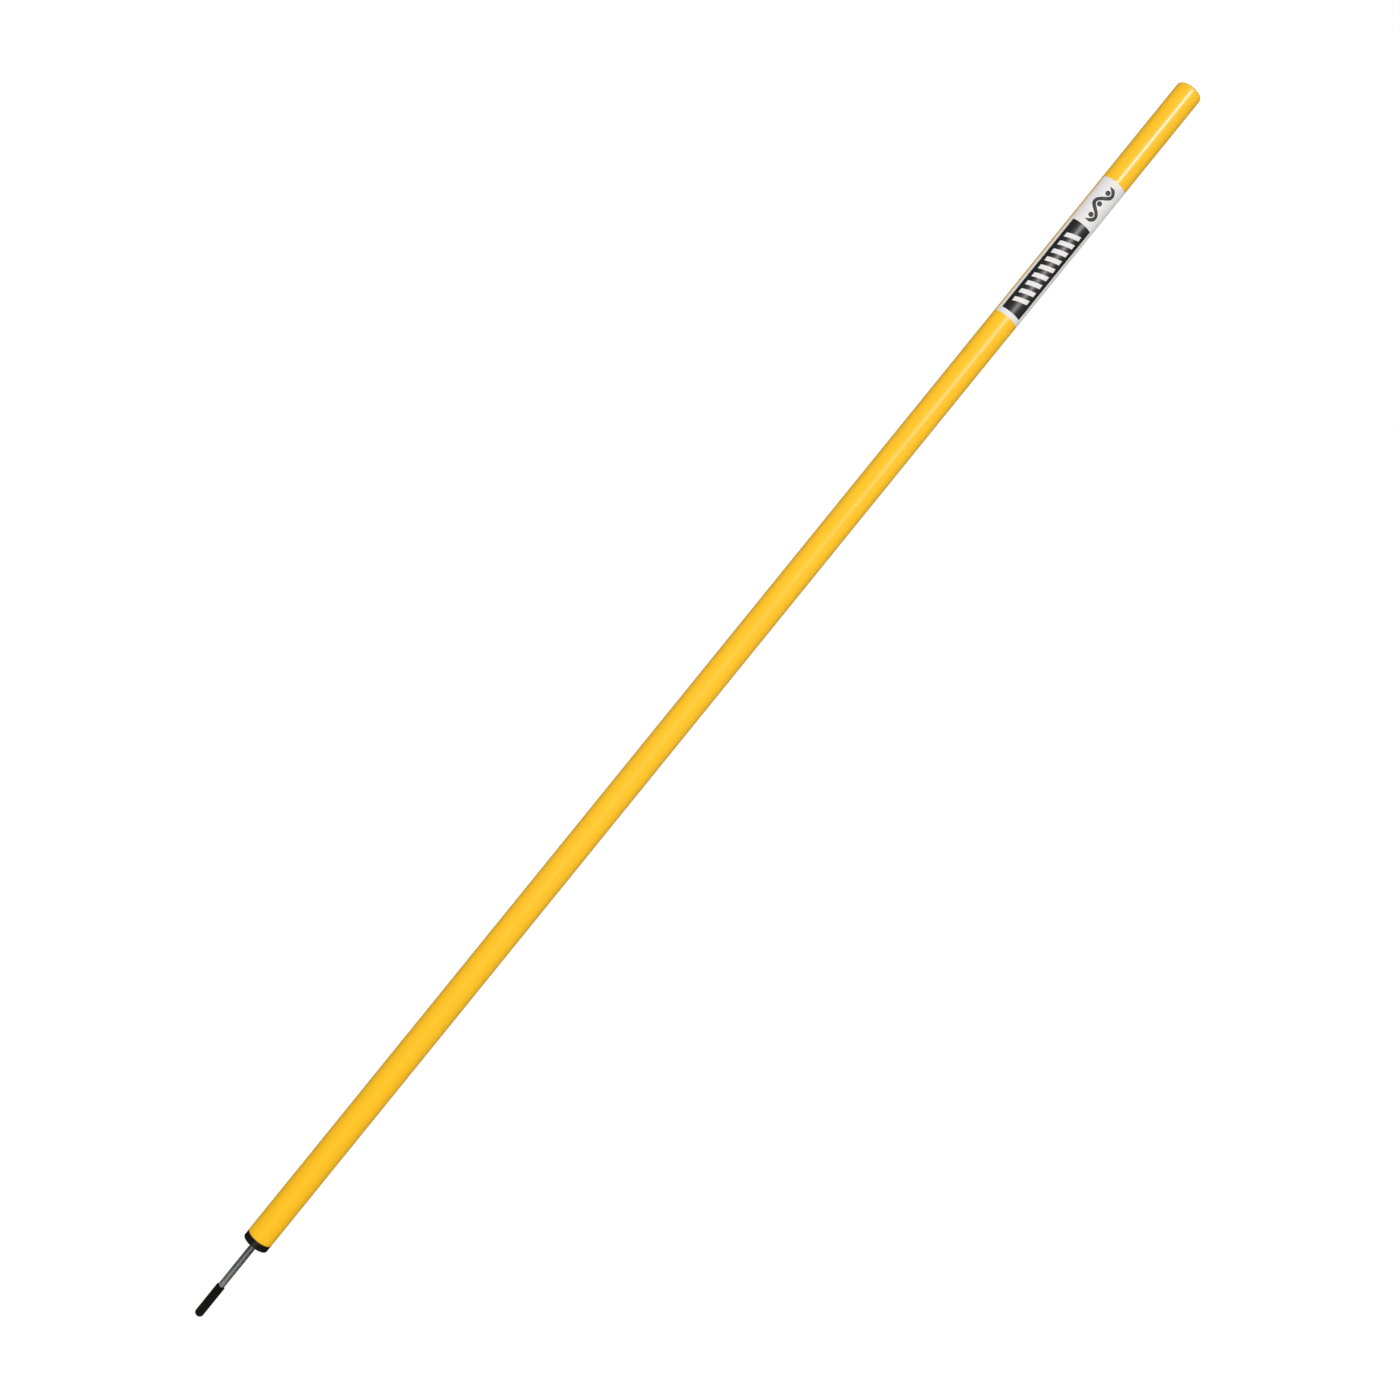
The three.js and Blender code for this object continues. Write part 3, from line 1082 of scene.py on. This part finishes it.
@dataclass
class Tube:
    """The extruded tube and its wrapped label."""

    fit: Fit
    plastic: Finish
    film: PrintedFilm
    segments: int = 160
    edge_break: float = 0.15 * MM
    ring_spacing: float = 40 * MM
    label_film: float = 0.15 * MM
    label_left: float = math.radians(-153.0)
    label_bare_strip: float = 21 * MM
    label_columns: int = 150
    label_rows: int = 44
    label_corner: float = 1.6 * MM
    corner_rows: int = 6

    def build(self) -> None:
        """Makes the tube and the label."""
        place_piece("tube_extrusion", self.tube(), self.plastic, Body.POLE, Slot.TUBE, "pole_tube")
        place_piece("label_sheet", self.label(), self.film, Body.POLE, Slot.LABEL, "label_wrap")

    def tube(self) -> bpy.types.Mesh:
        """Makes the tube, with its sawn edges lightly broken.

        Returns:
            The tube's mesh.
        """
        fit, ends = self.fit, (self.fit.tube_low.z, self.fit.tube_high.z)
        points = ring_outline(fit.bore_radius, fit.tube_radius, *ends, self.edge_break)
        return turned(divided(points, self.ring_spacing, closed=True), self.segments, closed=True)

    def label_levels(self, length: float) -> list[Point]:
        """Works out the label's rows, which are closer at its rounded corners.

        Args:
            length: the label's length along the pole.

        Returns:
            Each row's height above the lower edge, and how far the label's sides draw in there.
        """
        size = self.label_corner
        turns = [math.pi / 2 * step / self.corner_rows for step in range(self.corner_rows)]
        ends = [(size * (1 - math.cos(turn)), size * (1 - math.sin(turn))) for turn in turns]
        straight = length - 2 * size
        middle = [(size + straight * row / self.label_rows, 0.0) for row in range(self.label_rows + 1)]
        return ends + middle + [(length - height, inset) for height, inset in reversed(ends)]

    def label(self) -> bpy.types.Mesh:
        """Makes the label as a thin closed sheet round the tube, with each point's place in the print.

        Returns:
            The label's mesh.
        """
        low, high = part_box("label_wrap")
        outer = high.x
        inner = outer - self.label_film
        sweep = FULL_TURN - self.label_bare_strip / inner
        levels = self.label_levels(high.z - low.z)
        middle = -math.pi / 2 + self.film.layout.middle_turn
        vertices: list[Corner] = []
        places: list[float] = []
        for radius in (outer, inner):
            for height, inset in levels:
                for column in range(self.label_columns + 1):
                    share = column / self.label_columns
                    turn = self.label_left + inset / outer + (sweep - 2 * inset / outer) * share
                    vertices.append((radius * math.cos(turn), radius * math.sin(turn), low.z + height))
                    places.extend((outer * (turn - middle), height, 0.0))
        mesh = new_mesh("label_sheet", vertices, self.label_faces(len(levels)))
        spots = mesh.attributes.new(self.film.layout.place, "FLOAT_VECTOR", "POINT")
        spots.data.foreach_set("vector", places)
        return shaded(mesh)

    def label_faces(self, rows: int) -> list[Face]:
        """Joins the points of the label's two sides and of its four edges.

        Args:
            rows: the number of rows of points on each side.

        Returns:
            The faces, outward.
        """
        width = self.label_columns + 1
        back = rows * width
        top = back - width
        faces: list[Face] = []
        for row in range(rows - 1):
            for column in range(width - 1):
                corner = row * width + column
                quad = (corner, corner + 1, corner + width + 1, corner + width)
                faces.append(quad)
                faces.append(tuple(back + index for index in reversed(quad)))
        for column in range(width - 1):
            faces.append((column + 1, column, back + column, back + column + 1))
            faces.append((top + column, top + column + 1, back + top + column + 1, back + top + column))
        for left in range(0, top, width):
            right = left + width - 1
            faces.append((left, left + width, back + left + width, back + left))
            faces.append((right + width, right, back + right, back + right + width))
        return faces


@dataclass
class TopCap:
    """The moulded cap that is pressed into the tube's upper end.

    The gate mark's outline is given in shares of its radius and of its depth.
    """

    fit: Fit
    plastic: Finish
    bars: RadialBars
    segments: int = 160
    seam_break: float = 0.15 * MM
    edge_radius: float = 3.6 * MM
    edge_steps: int = 14
    crown_rise: float = 0.6 * MM
    crown_steps: int = 12
    top_wall: float = 2.4 * MM
    skirt_wall: float = 1.9 * MM
    lead_in: float = 1.2 * MM
    rib_count: int = 8
    rib_height: float = 0.6 * MM
    rib_width: float = 1.2 * MM
    rib_lead_in: float = 5 * MM
    gate_radius: float = 1.3 * MM
    gate_depth: float = 0.15 * MM
    gate_shares: tuple[Point, ...] = ((1.0, 0.25), (0.85, 1.0), (0.25, 1.0), (0.0, 0.8))

    def build(self) -> None:
        """Makes the cap."""
        low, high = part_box("top_cap")
        seat = self.fit.tube_high.z
        skirt = self.fit.grip_radius - self.rib_height
        mesh = self.bars.run(
            turned(self.outline(low.z, high.z, seat, skirt), self.segments, closed=False),
            self.plastic.material(),
            count=self.rib_count,
            inner_radius=skirt - self.skirt_wall / 2,
            outer_radius=self.fit.grip_radius,
            width=self.rib_width,
            bottom=low.z + self.rib_lead_in,
            top=seat + self.seam_break,
        )
        place_piece("cap_moulding", mesh, self.plastic, Body.POLE, Slot.CAP, "top_cap")

    def outline(self, low: float, high: float, seat: float, skirt: float) -> list[Point]:
        """Draws the cap's outline from the inside of its top, round the skirt, to the crown.

        Args:
            low: height of the skirt's lower end.
            high: height of the crown.
            seat: height of the tube's end.
            skirt: the skirt's outside radius.

        Returns:
            The outline's points.
        """
        radius, edge, small = self.fit.tube_radius, self.edge_radius, self.seam_break
        hollow, ceiling = skirt - self.skirt_wall, high - self.top_wall
        under = [
            (0.0, ceiling, 0.0),
            (hollow, ceiling, self.lead_in),
            (hollow, low, small),
            (skirt - self.lead_in / 2, low, small),
            (skirt, low + self.lead_in, small),
            (skirt, seat, small),
            (radius, seat, small),
            (radius, high - self.crown_rise - edge, 0.0),
        ]
        rim = radius - edge
        sphere = (rim**2 + self.crown_rise**2) / (2 * self.crown_rise)
        shoulder = arc((rim, high - self.crown_rise - edge), edge, 0, 90, self.edge_steps)
        start, end = (math.degrees(math.acos(reach / sphere)) for reach in (rim, 2 * self.gate_radius))
        crown = arc((0.0, high - sphere), sphere, start, end, self.crown_steps)
        dish = [(self.gate_radius * out, high - self.gate_depth * down) for out, down in self.gate_shares]
        return rounded(under, closed=False)[:-1] + shoulder + crown[1:] + dish


@dataclass
class BasePlug:
    """The moulded plug that closes the tube's lower end and holds the spike."""

    fit: Fit
    plastic: Finish
    bars: RadialBars
    segments: int = 160
    ring_edge: float = 0.7 * MM
    seam_break: float = 0.15 * MM
    floor: float = 3 * MM
    shank_wall: float = 1.6 * MM
    lead_in: float = 1 * MM
    barb_count: int = 4
    barb_depth: float = 0.8 * MM
    barb_land: float = 1.2 * MM
    web_count: int = 6
    web_width: float = 1.6 * MM
    boss_wall: float = 1.8 * MM
    pocket_gap: float = 1 * MM
    seat_height: float = 22 * MM
    fillet: float = 0.4 * MM

    def build(self) -> None:
        """Makes the plug."""
        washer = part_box("spike_washer")
        boss_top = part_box("ground_spike")[1].z
        pocket = washer[1].x + self.pocket_gap
        shank = self.fit.grip_radius - self.barb_depth
        core = shank - self.shank_wall
        points = self.outside(shank) + self.inside(core, pocket, boss_top, washer[0].z)
        mesh = self.bars.run(
            turned(points, self.segments, closed=True),
            self.plastic.material(),
            count=self.web_count,
            inner_radius=pocket + self.boss_wall / 2,
            outer_radius=core + self.shank_wall / 2,
            width=self.web_width,
            bottom=self.floor / 2,
            top=boss_top - self.seam_break,
        )
        place_piece("plug_moulding", mesh, self.plastic, Body.POLE, Slot.PLUG, "base_plug")

    def outside(self, shank: float) -> list[Point]:
        """Draws the outline from the rod's bore under the ring and up the barbed shank.

        Args:
            shank: the shank's radius between its barbs.

        Returns:
            The outline's points.
        """
        ring_top, top = self.fit.tube_low.z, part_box("base_plug")[1].z
        grip, small = self.fit.grip_radius, self.seam_break
        pitch = (top - ring_top) / (self.barb_count + 1)
        corners = [
            (self.fit.rod_hole, 0.0, 0.0),
            (self.fit.tube_radius, 0.0, self.ring_edge),
            (self.fit.tube_radius, ring_top, small),
            (shank, ring_top, small),
        ]
        for barb in range(self.barb_count):
            foot = ring_top + (barb + 0.5) * pitch
            corners += [(shank, foot, small), (grip, foot, small)]
            corners += [(grip, foot + self.barb_land, small), (shank, foot + pitch / 2, small)]
        corners += [(shank, top - self.lead_in, small), (shank - self.lead_in, top, small), (0.0, top, 0.0)]
        return rounded(corners, closed=False)[:-1]

    def inside(self, core: float, pocket: float, boss_top: float, washer_seat: float) -> list[Point]:
        """Draws the outline of the cored pocket, the boss and its stepped bore, back to the lower face.

        Args:
            core: radius of the cored pocket.
            pocket: radius of the washer's pocket.
            boss_top: height of the boss.
            washer_seat: height of the washer's seat.

        Returns:
            The outline's points.
        """
        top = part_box("base_plug")[1].z
        boss, small = pocket + self.boss_wall, self.seam_break
        corners = [
            (core + self.shank_wall, top, 0.0),
            (core, top, small),
            (core, self.floor, self.fillet),
            (boss, self.floor, self.fillet),
            (boss, boss_top, small),
            (pocket, boss_top, small),
            (pocket, washer_seat, self.fillet),
            (self.fit.thread_hole, washer_seat, small),
            (self.fit.thread_hole, self.seat_height, small),
            (self.fit.rod_hole, self.seat_height, small),
            (self.fit.rod_hole, 0.0, 0.0),
        ]
        return rounded(corners, closed=False)[1:-1]


@dataclass
class Spike:
    """The steel spike with the washer, the lock nut and the nut's nylon ring that hold it in the plug."""

    fit: Fit
    steel: Finish
    plated: Finish
    nylon: Finish
    thread: RolledThread
    hexagon: HexagonCut
    segments: int = 72
    ring_spacing: float = 4 * MM
    point_length: float = 13 * MM
    point_blend: float = 0.65 * MM
    tip_radius: float = 1 * MM
    tip_steps: int = 8
    thread_pitch: float = 1 * MM
    thread_depth: float = 0.55 * MM
    thread_step: float = 0.1 * MM
    thread_chamfer: float = 0.7 * MM
    shoulder_break: float = 0.3 * MM
    nut_flats: float = 10 * MM
    nut_chamfer: float = 0.6 * MM
    nut_chamfer_rows: int = 3
    nut_collar_wall: float = 0.7 * MM
    ring_lip: float = 0.4 * MM

    def build(self) -> None:
        """Makes the spike, the washer, the nut and its ring."""
        pole = Body.POLE
        place_piece("spike_rod", self.rod(), self.steel, pole, Slot.SPIKE, "ground_spike")
        place_piece("washer_plate", self.washer(), self.plated, pole, Slot.PLATED, "spike_washer")
        place_piece("lock_nut", self.nut(), self.plated, pole, Slot.PLATED, "spike_nut")
        place_piece("nylon_ring", self.ring(), self.nylon, pole, Slot.NYLON, "nut_lock_ring")

    def rod(self) -> bpy.types.Mesh:
        """Makes the spike: a ground point, the rod, its shoulder and the threaded end.

        Returns:
            The spike's mesh.
        """
        low, high = (corner.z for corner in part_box("ground_spike"))
        shoulder = BasePlug.seat_height
        radius, neck = self.fit.rod_radius, self.fit.thread_radius
        slope = math.degrees(math.atan2(radius, self.point_length))
        tip = arc((0.0, low + self.tip_radius), self.tip_radius, -90, -slope, self.tip_steps)
        corners = [
            (*tip[-1], 0.0),
            (radius, low + self.point_length, self.point_blend),
            (radius, shoulder, self.shoulder_break),
            (neck, shoulder, 0.0),
        ]
        end = high - self.thread_chamfer
        steps = round((end - shoulder) / self.thread_step)
        points = divided(tip[:-1] + rounded(corners, closed=False), self.ring_spacing, closed=False)
        points += [(neck, shoulder + (end - shoulder) * step / steps) for step in range(1, steps + 1)]
        points += [(neck - self.thread_chamfer, high), (0.0, high)]
        return self.thread.run(
            turned(points, self.segments, closed=False),
            self.steel.material(),
            pitch=self.thread_pitch,
            depth=self.thread_depth,
            start=shoulder + self.thread_pitch / 2,
            end=high + self.thread_pitch,
            fade=self.thread_pitch,
        )

    def flat_ring(self, box: Sequence[Vector], hole: float, edge: float) -> bpy.types.Mesh:
        """Makes a flat ring that fills a box, with its edges rounded."""
        low, high = box
        return turned(ring_outline(hole, high.x, low.z, high.z, edge), self.segments, closed=True)

    def washer(self) -> bpy.types.Mesh:
        """Makes the punched washer, with its edges rolled a little."""
        return self.flat_ring(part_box("spike_washer"), self.fit.thread_hole, self.shoulder_break)

    def ring(self) -> bpy.types.Mesh:
        """Makes the nylon ring."""
        gap = self.fit.press_gap
        return self.flat_ring(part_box("nut_lock_ring"), self.fit.thread_radius + gap, gap)

    def nut(self) -> bpy.types.Mesh:
        """Makes the nut: a hexagon with a round collar, turned in at the top over its ring.

        Returns:
            The nut's mesh.
        """
        low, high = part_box("spike_nut")
        ring_low, ring_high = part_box("nut_lock_ring")
        hole, small = self.fit.thread_hole, self.fit.press_gap
        recess = ring_high.x + small
        collar = recess + self.nut_collar_wall
        widest = self.nut_flats / math.sqrt(3)
        lip = ring_high.x - self.ring_lip
        lip_base, hex_top = ring_high.z + small, ring_low.z - small
        corners = [
            (hole, low.z, small),
            (widest, low.z, 0.0),
            (widest, hex_top, 0.0),
            (collar, hex_top, small),
            (collar, high.z, self.nut_chamfer),
            (lip, high.z, small),
            (lip, lip_base, 0.0),
            (recess, lip_base, 0.0),
            (recess, ring_low.z, 0.0),
            (hole, ring_low.z, small),
        ]
        longest = self.nut_chamfer / self.nut_chamfer_rows
        points = divided(rounded(corners, closed=True), longest, closed=True)
        return self.hexagon.run(
            turned(points, self.segments, closed=True),
            self.plated.material(),
            across_flats=self.nut_flats,
            chamfer=self.nut_chamfer,
            bottom=low.z,
            top=hex_top,
            least_radius=collar + small,
        )


@dataclass
class TipGuard:
    """The push-on rubber guard over the spike's point."""

    fit: Fit
    rubber: Finish
    segments: int = 96
    end_radius: float = 4.4 * MM
    end_steps: int = 16
    end_wall: float = 2.5 * MM
    rim_radius: float = 0.5 * MM
    rim_steps: int = 6
    floor_steps: int = 8
    ring_spacing: float = 1.2 * MM
    unevenness: float = 0.07 * MM
    swell_size: float = 7 * MM

    def build(self) -> None:
        """Makes the guard, whose outside is a little uneven from dipping."""
        low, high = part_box("tip_guard")
        outer, inner = high.x, self.fit.rod_hole
        end, rim = self.end_radius, self.rim_radius
        inside_end = end - (outer - inner)
        floor = low.z + self.end_wall - self.fit.press_gap
        points = [(0.0, low.z)]
        points += arc((outer - end, low.z + end), end, -90, 0, self.end_steps)
        points += arc((outer - rim, high.z - rim), rim, 0, 90, self.rim_steps)
        points += [(inner, high.z)]
        points += arc((inner - inside_end, floor + inside_end), inside_end, 0, -90, self.floor_steps)
        points += [(0.0, floor)]
        mesh = turned(divided(points, self.ring_spacing, closed=False), self.segments, closed=False)
        for vertex in mesh.vertices:
            self.dip(vertex, (inner + outer) / 2)
        place_piece("guard_sleeve", shaded(mesh), self.rubber, Body.GUARD, Slot.GUARD, "tip_guard")

    def dip(self, vertex: bpy.types.MeshVertex, least_radius: float) -> None:
        """Draws a point of the outside inwards by the rubber's unevenness there.

        Args:
            vertex: the point.
            least_radius: the radius within which a point belongs to the inside and stays.
        """
        radius = math.hypot(vertex.co.x, vertex.co.y)
        if radius < least_radius:
            return
        swell = 0.5 + 0.5 * noise.noise(vertex.co / self.swell_size)
        share = 1 - self.unevenness * swell / radius
        vertex.co.x *= share
        vertex.co.y *= share


# Studio


def round_pole(turn: float, away: float, height: float) -> Corner:
    """Returns the place at a turn in degrees, right of the camera's side, and a distance from the pole."""
    angle = math.radians(turn)
    return (away * math.sin(angle), -away * math.cos(angle), height)


@dataclass(frozen=True)
class Lamp:
    """A rectangular lamp that faces the pole at the height of its aim.

    It stands at a turn in degrees, right of the camera's side. Its power is in watts. A line lamp shows only
    in gloss, and any other lamp only lights surfaces.
    """

    name: str
    turn: float
    away: float
    height: float
    aim: float
    size: Point
    power: float
    line: bool

    def hang(self) -> None:
        """Adds the lamp to the scene."""
        data = bpy.data.lights.new(self.name, "AREA")
        data.shape = "RECTANGLE"
        data.size, data.size_y = self.size
        data.energy = self.power
        spot = Vector(round_pole(self.turn, self.away, self.height))
        faced = (Vector((0, 0, self.aim)) - spot).to_track_quat("-Z", "Y")
        lamp = added(self.name, data)
        lamp.matrix_world = Matrix.Translation(spot) @ faced.to_matrix().to_4x4()
        lamp.visible_camera = False
        lamp.visible_diffuse, lamp.visible_glossy = not self.line, self.line


@dataclass(frozen=True)
class Flag:
    """A curved dark panel round the pole, between two turns in degrees and above its own lower edge."""

    name: str
    start: float
    end: float
    low: float
    steps: int = 24

    def stand(self, radius: float, high: float, material: bpy.types.Material) -> None:
        """Adds the flag to the scene, for reflections alone.

        Args:
            radius: its distance from the pole.
            high: height of its upper edge.
            material: its surface.
        """
        row = self.steps + 1
        turns = [self.start + (self.end - self.start) * step / self.steps for step in range(row)]
        vertices = [round_pole(turn, radius, level) for level in (self.low, high) for turn in turns]
        faces = [(step, step + 1, row + step + 1, row + step) for step in range(self.steps)]
        mesh = new_mesh(self.name, vertices, faces)
        mesh.materials.append(material)
        flag = added(self.name, mesh)
        flag.visible_camera = flag.visible_diffuse = flag.visible_shadow = False
        flag.visible_transmission = flag.visible_volume_scatter = False
        flag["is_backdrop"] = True


@dataclass
class Studio:
    """White floor and background, lamps, dark flags, and the camera at the photograph's place.

    The photograph's pole stands out on pure white with dark edges, so dark flags round the pole,
    seen only in reflections, keep the white surroundings off its sides. A gap low in front lets the
    spike catch a soft streak.
    """

    ambient: float = 0.6
    floor_radius: float = 0.3
    floor_facets: int = 128
    floor_gap: float = 60 * MM
    floor_white: float = 0.85
    floor_top_up: float = 0.28
    flag_radius: float = 3.2
    flag_high: float = 12.0
    flag_colour: Colour = (0.02, 0.02, 0.02)
    flags: tuple[Flag, ...] = (
        Flag("flag_left", -180.0, -12.0, -3.7),
        Flag("flag_front", -12.0, 12.0, -1.0),
        Flag("flag_right", 12.0, 180.0, -3.7),
    )
    lamps: tuple[Lamp, ...] = (
        Lamp("front_softbox", 0.5, 2.6, 1.1, 1.1, (1.3, 2.8), 46.0, line=False),
        Lamp("back_softbox", 180.0, 2.6, 1.2, 1.2, (1.3, 2.8), 32.0, line=False),
        Lamp("high_line_lamp", 12.0, 2.2, 2.51, 1.0, (0.16, 0.62), 28.0, line=True),
        Lamp("low_line_lamp", 12.0, 2.2, 1.75, 1.0, (0.16, 0.6), 5.6, line=True),
    )
    photo_side: int = 1400
    photo_focal: float = 1820.0
    photo_scale: float = 877.6
    photo_turn: float = math.radians(39.04)
    photo_axis_offset: float = 3.05
    camera_height: float = 799.8 * MM
    sensor: float = 36.0

    def build(self) -> None:
        """Makes everything that isn't the object."""
        self.camera()
        self.world()
        self.floor()
        material = surfaced("flag", self.flag_surface)
        for flag in self.flags:
            flag.stand(self.flag_radius, self.flag_high, material)
        for lamp in self.lamps:
            lamp.hang()
        bpy.context.scene.view_settings.view_transform = "Standard"

    def camera(self) -> None:
        """Places the camera level with the pole's middle, rolled as the photograph is."""
        data = bpy.data.cameras.new("camera")
        data.sensor_width = self.sensor
        data.lens = self.photo_focal / self.photo_side * self.sensor
        away = self.photo_focal / self.photo_scale
        aside = self.photo_axis_offset / self.photo_scale
        spot = Matrix.Translation((aside, -away, self.camera_height))
        level = Matrix.Rotation(math.pi / 2, 4, "X")
        camera = added("camera", data)
        camera.matrix_world = spot @ level @ Matrix.Rotation(self.photo_turn, 4, "Z")
        bpy.context.scene.camera = camera

    @staticmethod
    def seen(wiring: Wiring) -> Signal:
        """Tells the rays that show a surface from those that light it.

        Args:
            wiring: adds nodes to the surface.

        Returns:
            1 for rays from the camera, from gloss and through glass, and 0 for others.
        """
        path = wiring.node("ShaderNodeLightPath").outputs
        rays = [Signal(wiring, path[f"Is {kind} Ray"]) for kind in ("Camera", "Glossy", "Transmission")]
        return wiring.math("MAXIMUM", wiring.math("MAXIMUM", *rays[:2]), rays[2])

    def world(self) -> None:
        """Makes a world that looks white and lights evenly from all sides."""
        world = bpy.data.worlds.new("studio")
        wiring = emptied(world)
        feeds = {"Color": (1, 1, 1), "Strength": wiring.spread(self.seen(wiring), self.ambient, 1.0)}
        wiring.node("ShaderNodeOutputWorld", {"Surface": wiring.output("ShaderNodeBackground", feeds)})
        bpy.context.scene.world = world

    def floor(self) -> None:
        """Makes a white floor under the pole, low enough for the guard to be pulled off above it."""
        travel = max(joint["range_m"][1] for joint in frame["joints"])
        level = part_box("tip_guard")[0].z - travel - self.floor_gap
        angles = [FULL_TURN * step / self.floor_facets for step in range(self.floor_facets)]
        edge = [(self.floor_radius * math.cos(a), self.floor_radius * math.sin(a), level) for a in angles]
        mesh = new_mesh("floor", edge, [tuple(range(len(edge)))])
        mesh.materials.append(surfaced("floor", self.floor_surface))
        piece = added("floor", mesh)
        piece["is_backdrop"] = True

    def floor_surface(self, wiring: Wiring) -> Signal:
        """Adds a white that keeps shadows, tops itself up to the background, and is clear from below.

        Args:
            wiring: adds nodes to the material.

        Returns:
            The surface.
        """
        matt = wiring.output("ShaderNodeBsdfDiffuse", {"Color": (self.floor_white,) * 3})
        glow = wiring.output("ShaderNodeEmission", {"Strength": self.seen(wiring) * self.floor_top_up})
        top = wiring.output("ShaderNodeAddShader", {0: matt, 1: glow})
        clear = wiring.output("ShaderNodeBsdfTransparent")
        below = wiring.output("ShaderNodeNewGeometry", key="Backfacing")
        return wiring.output("ShaderNodeMixShader", {0: below, 1: top, 2: clear})

    def flag_surface(self, wiring: Wiring) -> Signal:
        """Adds a plain dark surface."""
        return wiring.output("ShaderNodeBsdfDiffuse", {"Color": self.flag_colour})


def corners(bounds: Sequence[Vector]) -> list[list[float]]:
    """Returns the corners of a box as plain numbers."""
    return [list(corner) for corner in bounds]


def main() -> None:
    """Builds the pieces in order, then the studio."""
    logging.basicConfig(level=logging.INFO, format="%(message)s")
    cad_box = corners(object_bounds())
    fit = Fit()
    bars = RadialBars()
    tube_plastic = YellowPlastic("yellow tube plastic", (0.29, 0.32), 0.0006 * MM, fit.tube_low.z)
    cap_plastic = YellowPlastic("yellow cap plastic", (0.3, 0.34), 0.0004 * MM)
    steel = DrawnSteel(
        "bare drawn steel",
        turned_below=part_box("ground_spike")[0].z + Spike.point_length,
        turned_above=BasePlug.seat_height - Spike.shoulder_break,
    )
    zinc = Mottled("zinc plate", (0.62, 0.64, 0.66), 0.78, Cloud(0.7 * MM, detail=4), (0.24, 0.4), 1.0)
    nylon = Mottled("pale nylon", (0.7, 0.69, 0.62), 0.9, Cloud(1.2 * MM), (0.38, 0.5), 0.0)
    parts = (
        Tube(fit, tube_plastic, PrintedFilm("label film")),
        TopCap(fit, cap_plastic, bars),
        BasePlug(fit, BlackMoulding("black plug plastic"), bars),
        Spike(fit, steel, zinc, nylon, RolledThread(), HexagonCut()),
        TipGuard(fit, DippedRubber("black rubber")),
    )
    for part in parts:
        part.build()
    Studio().build()
    {"cad": cad_box, "visual": corners(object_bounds())}


if __name__ == "__main__":
    main()
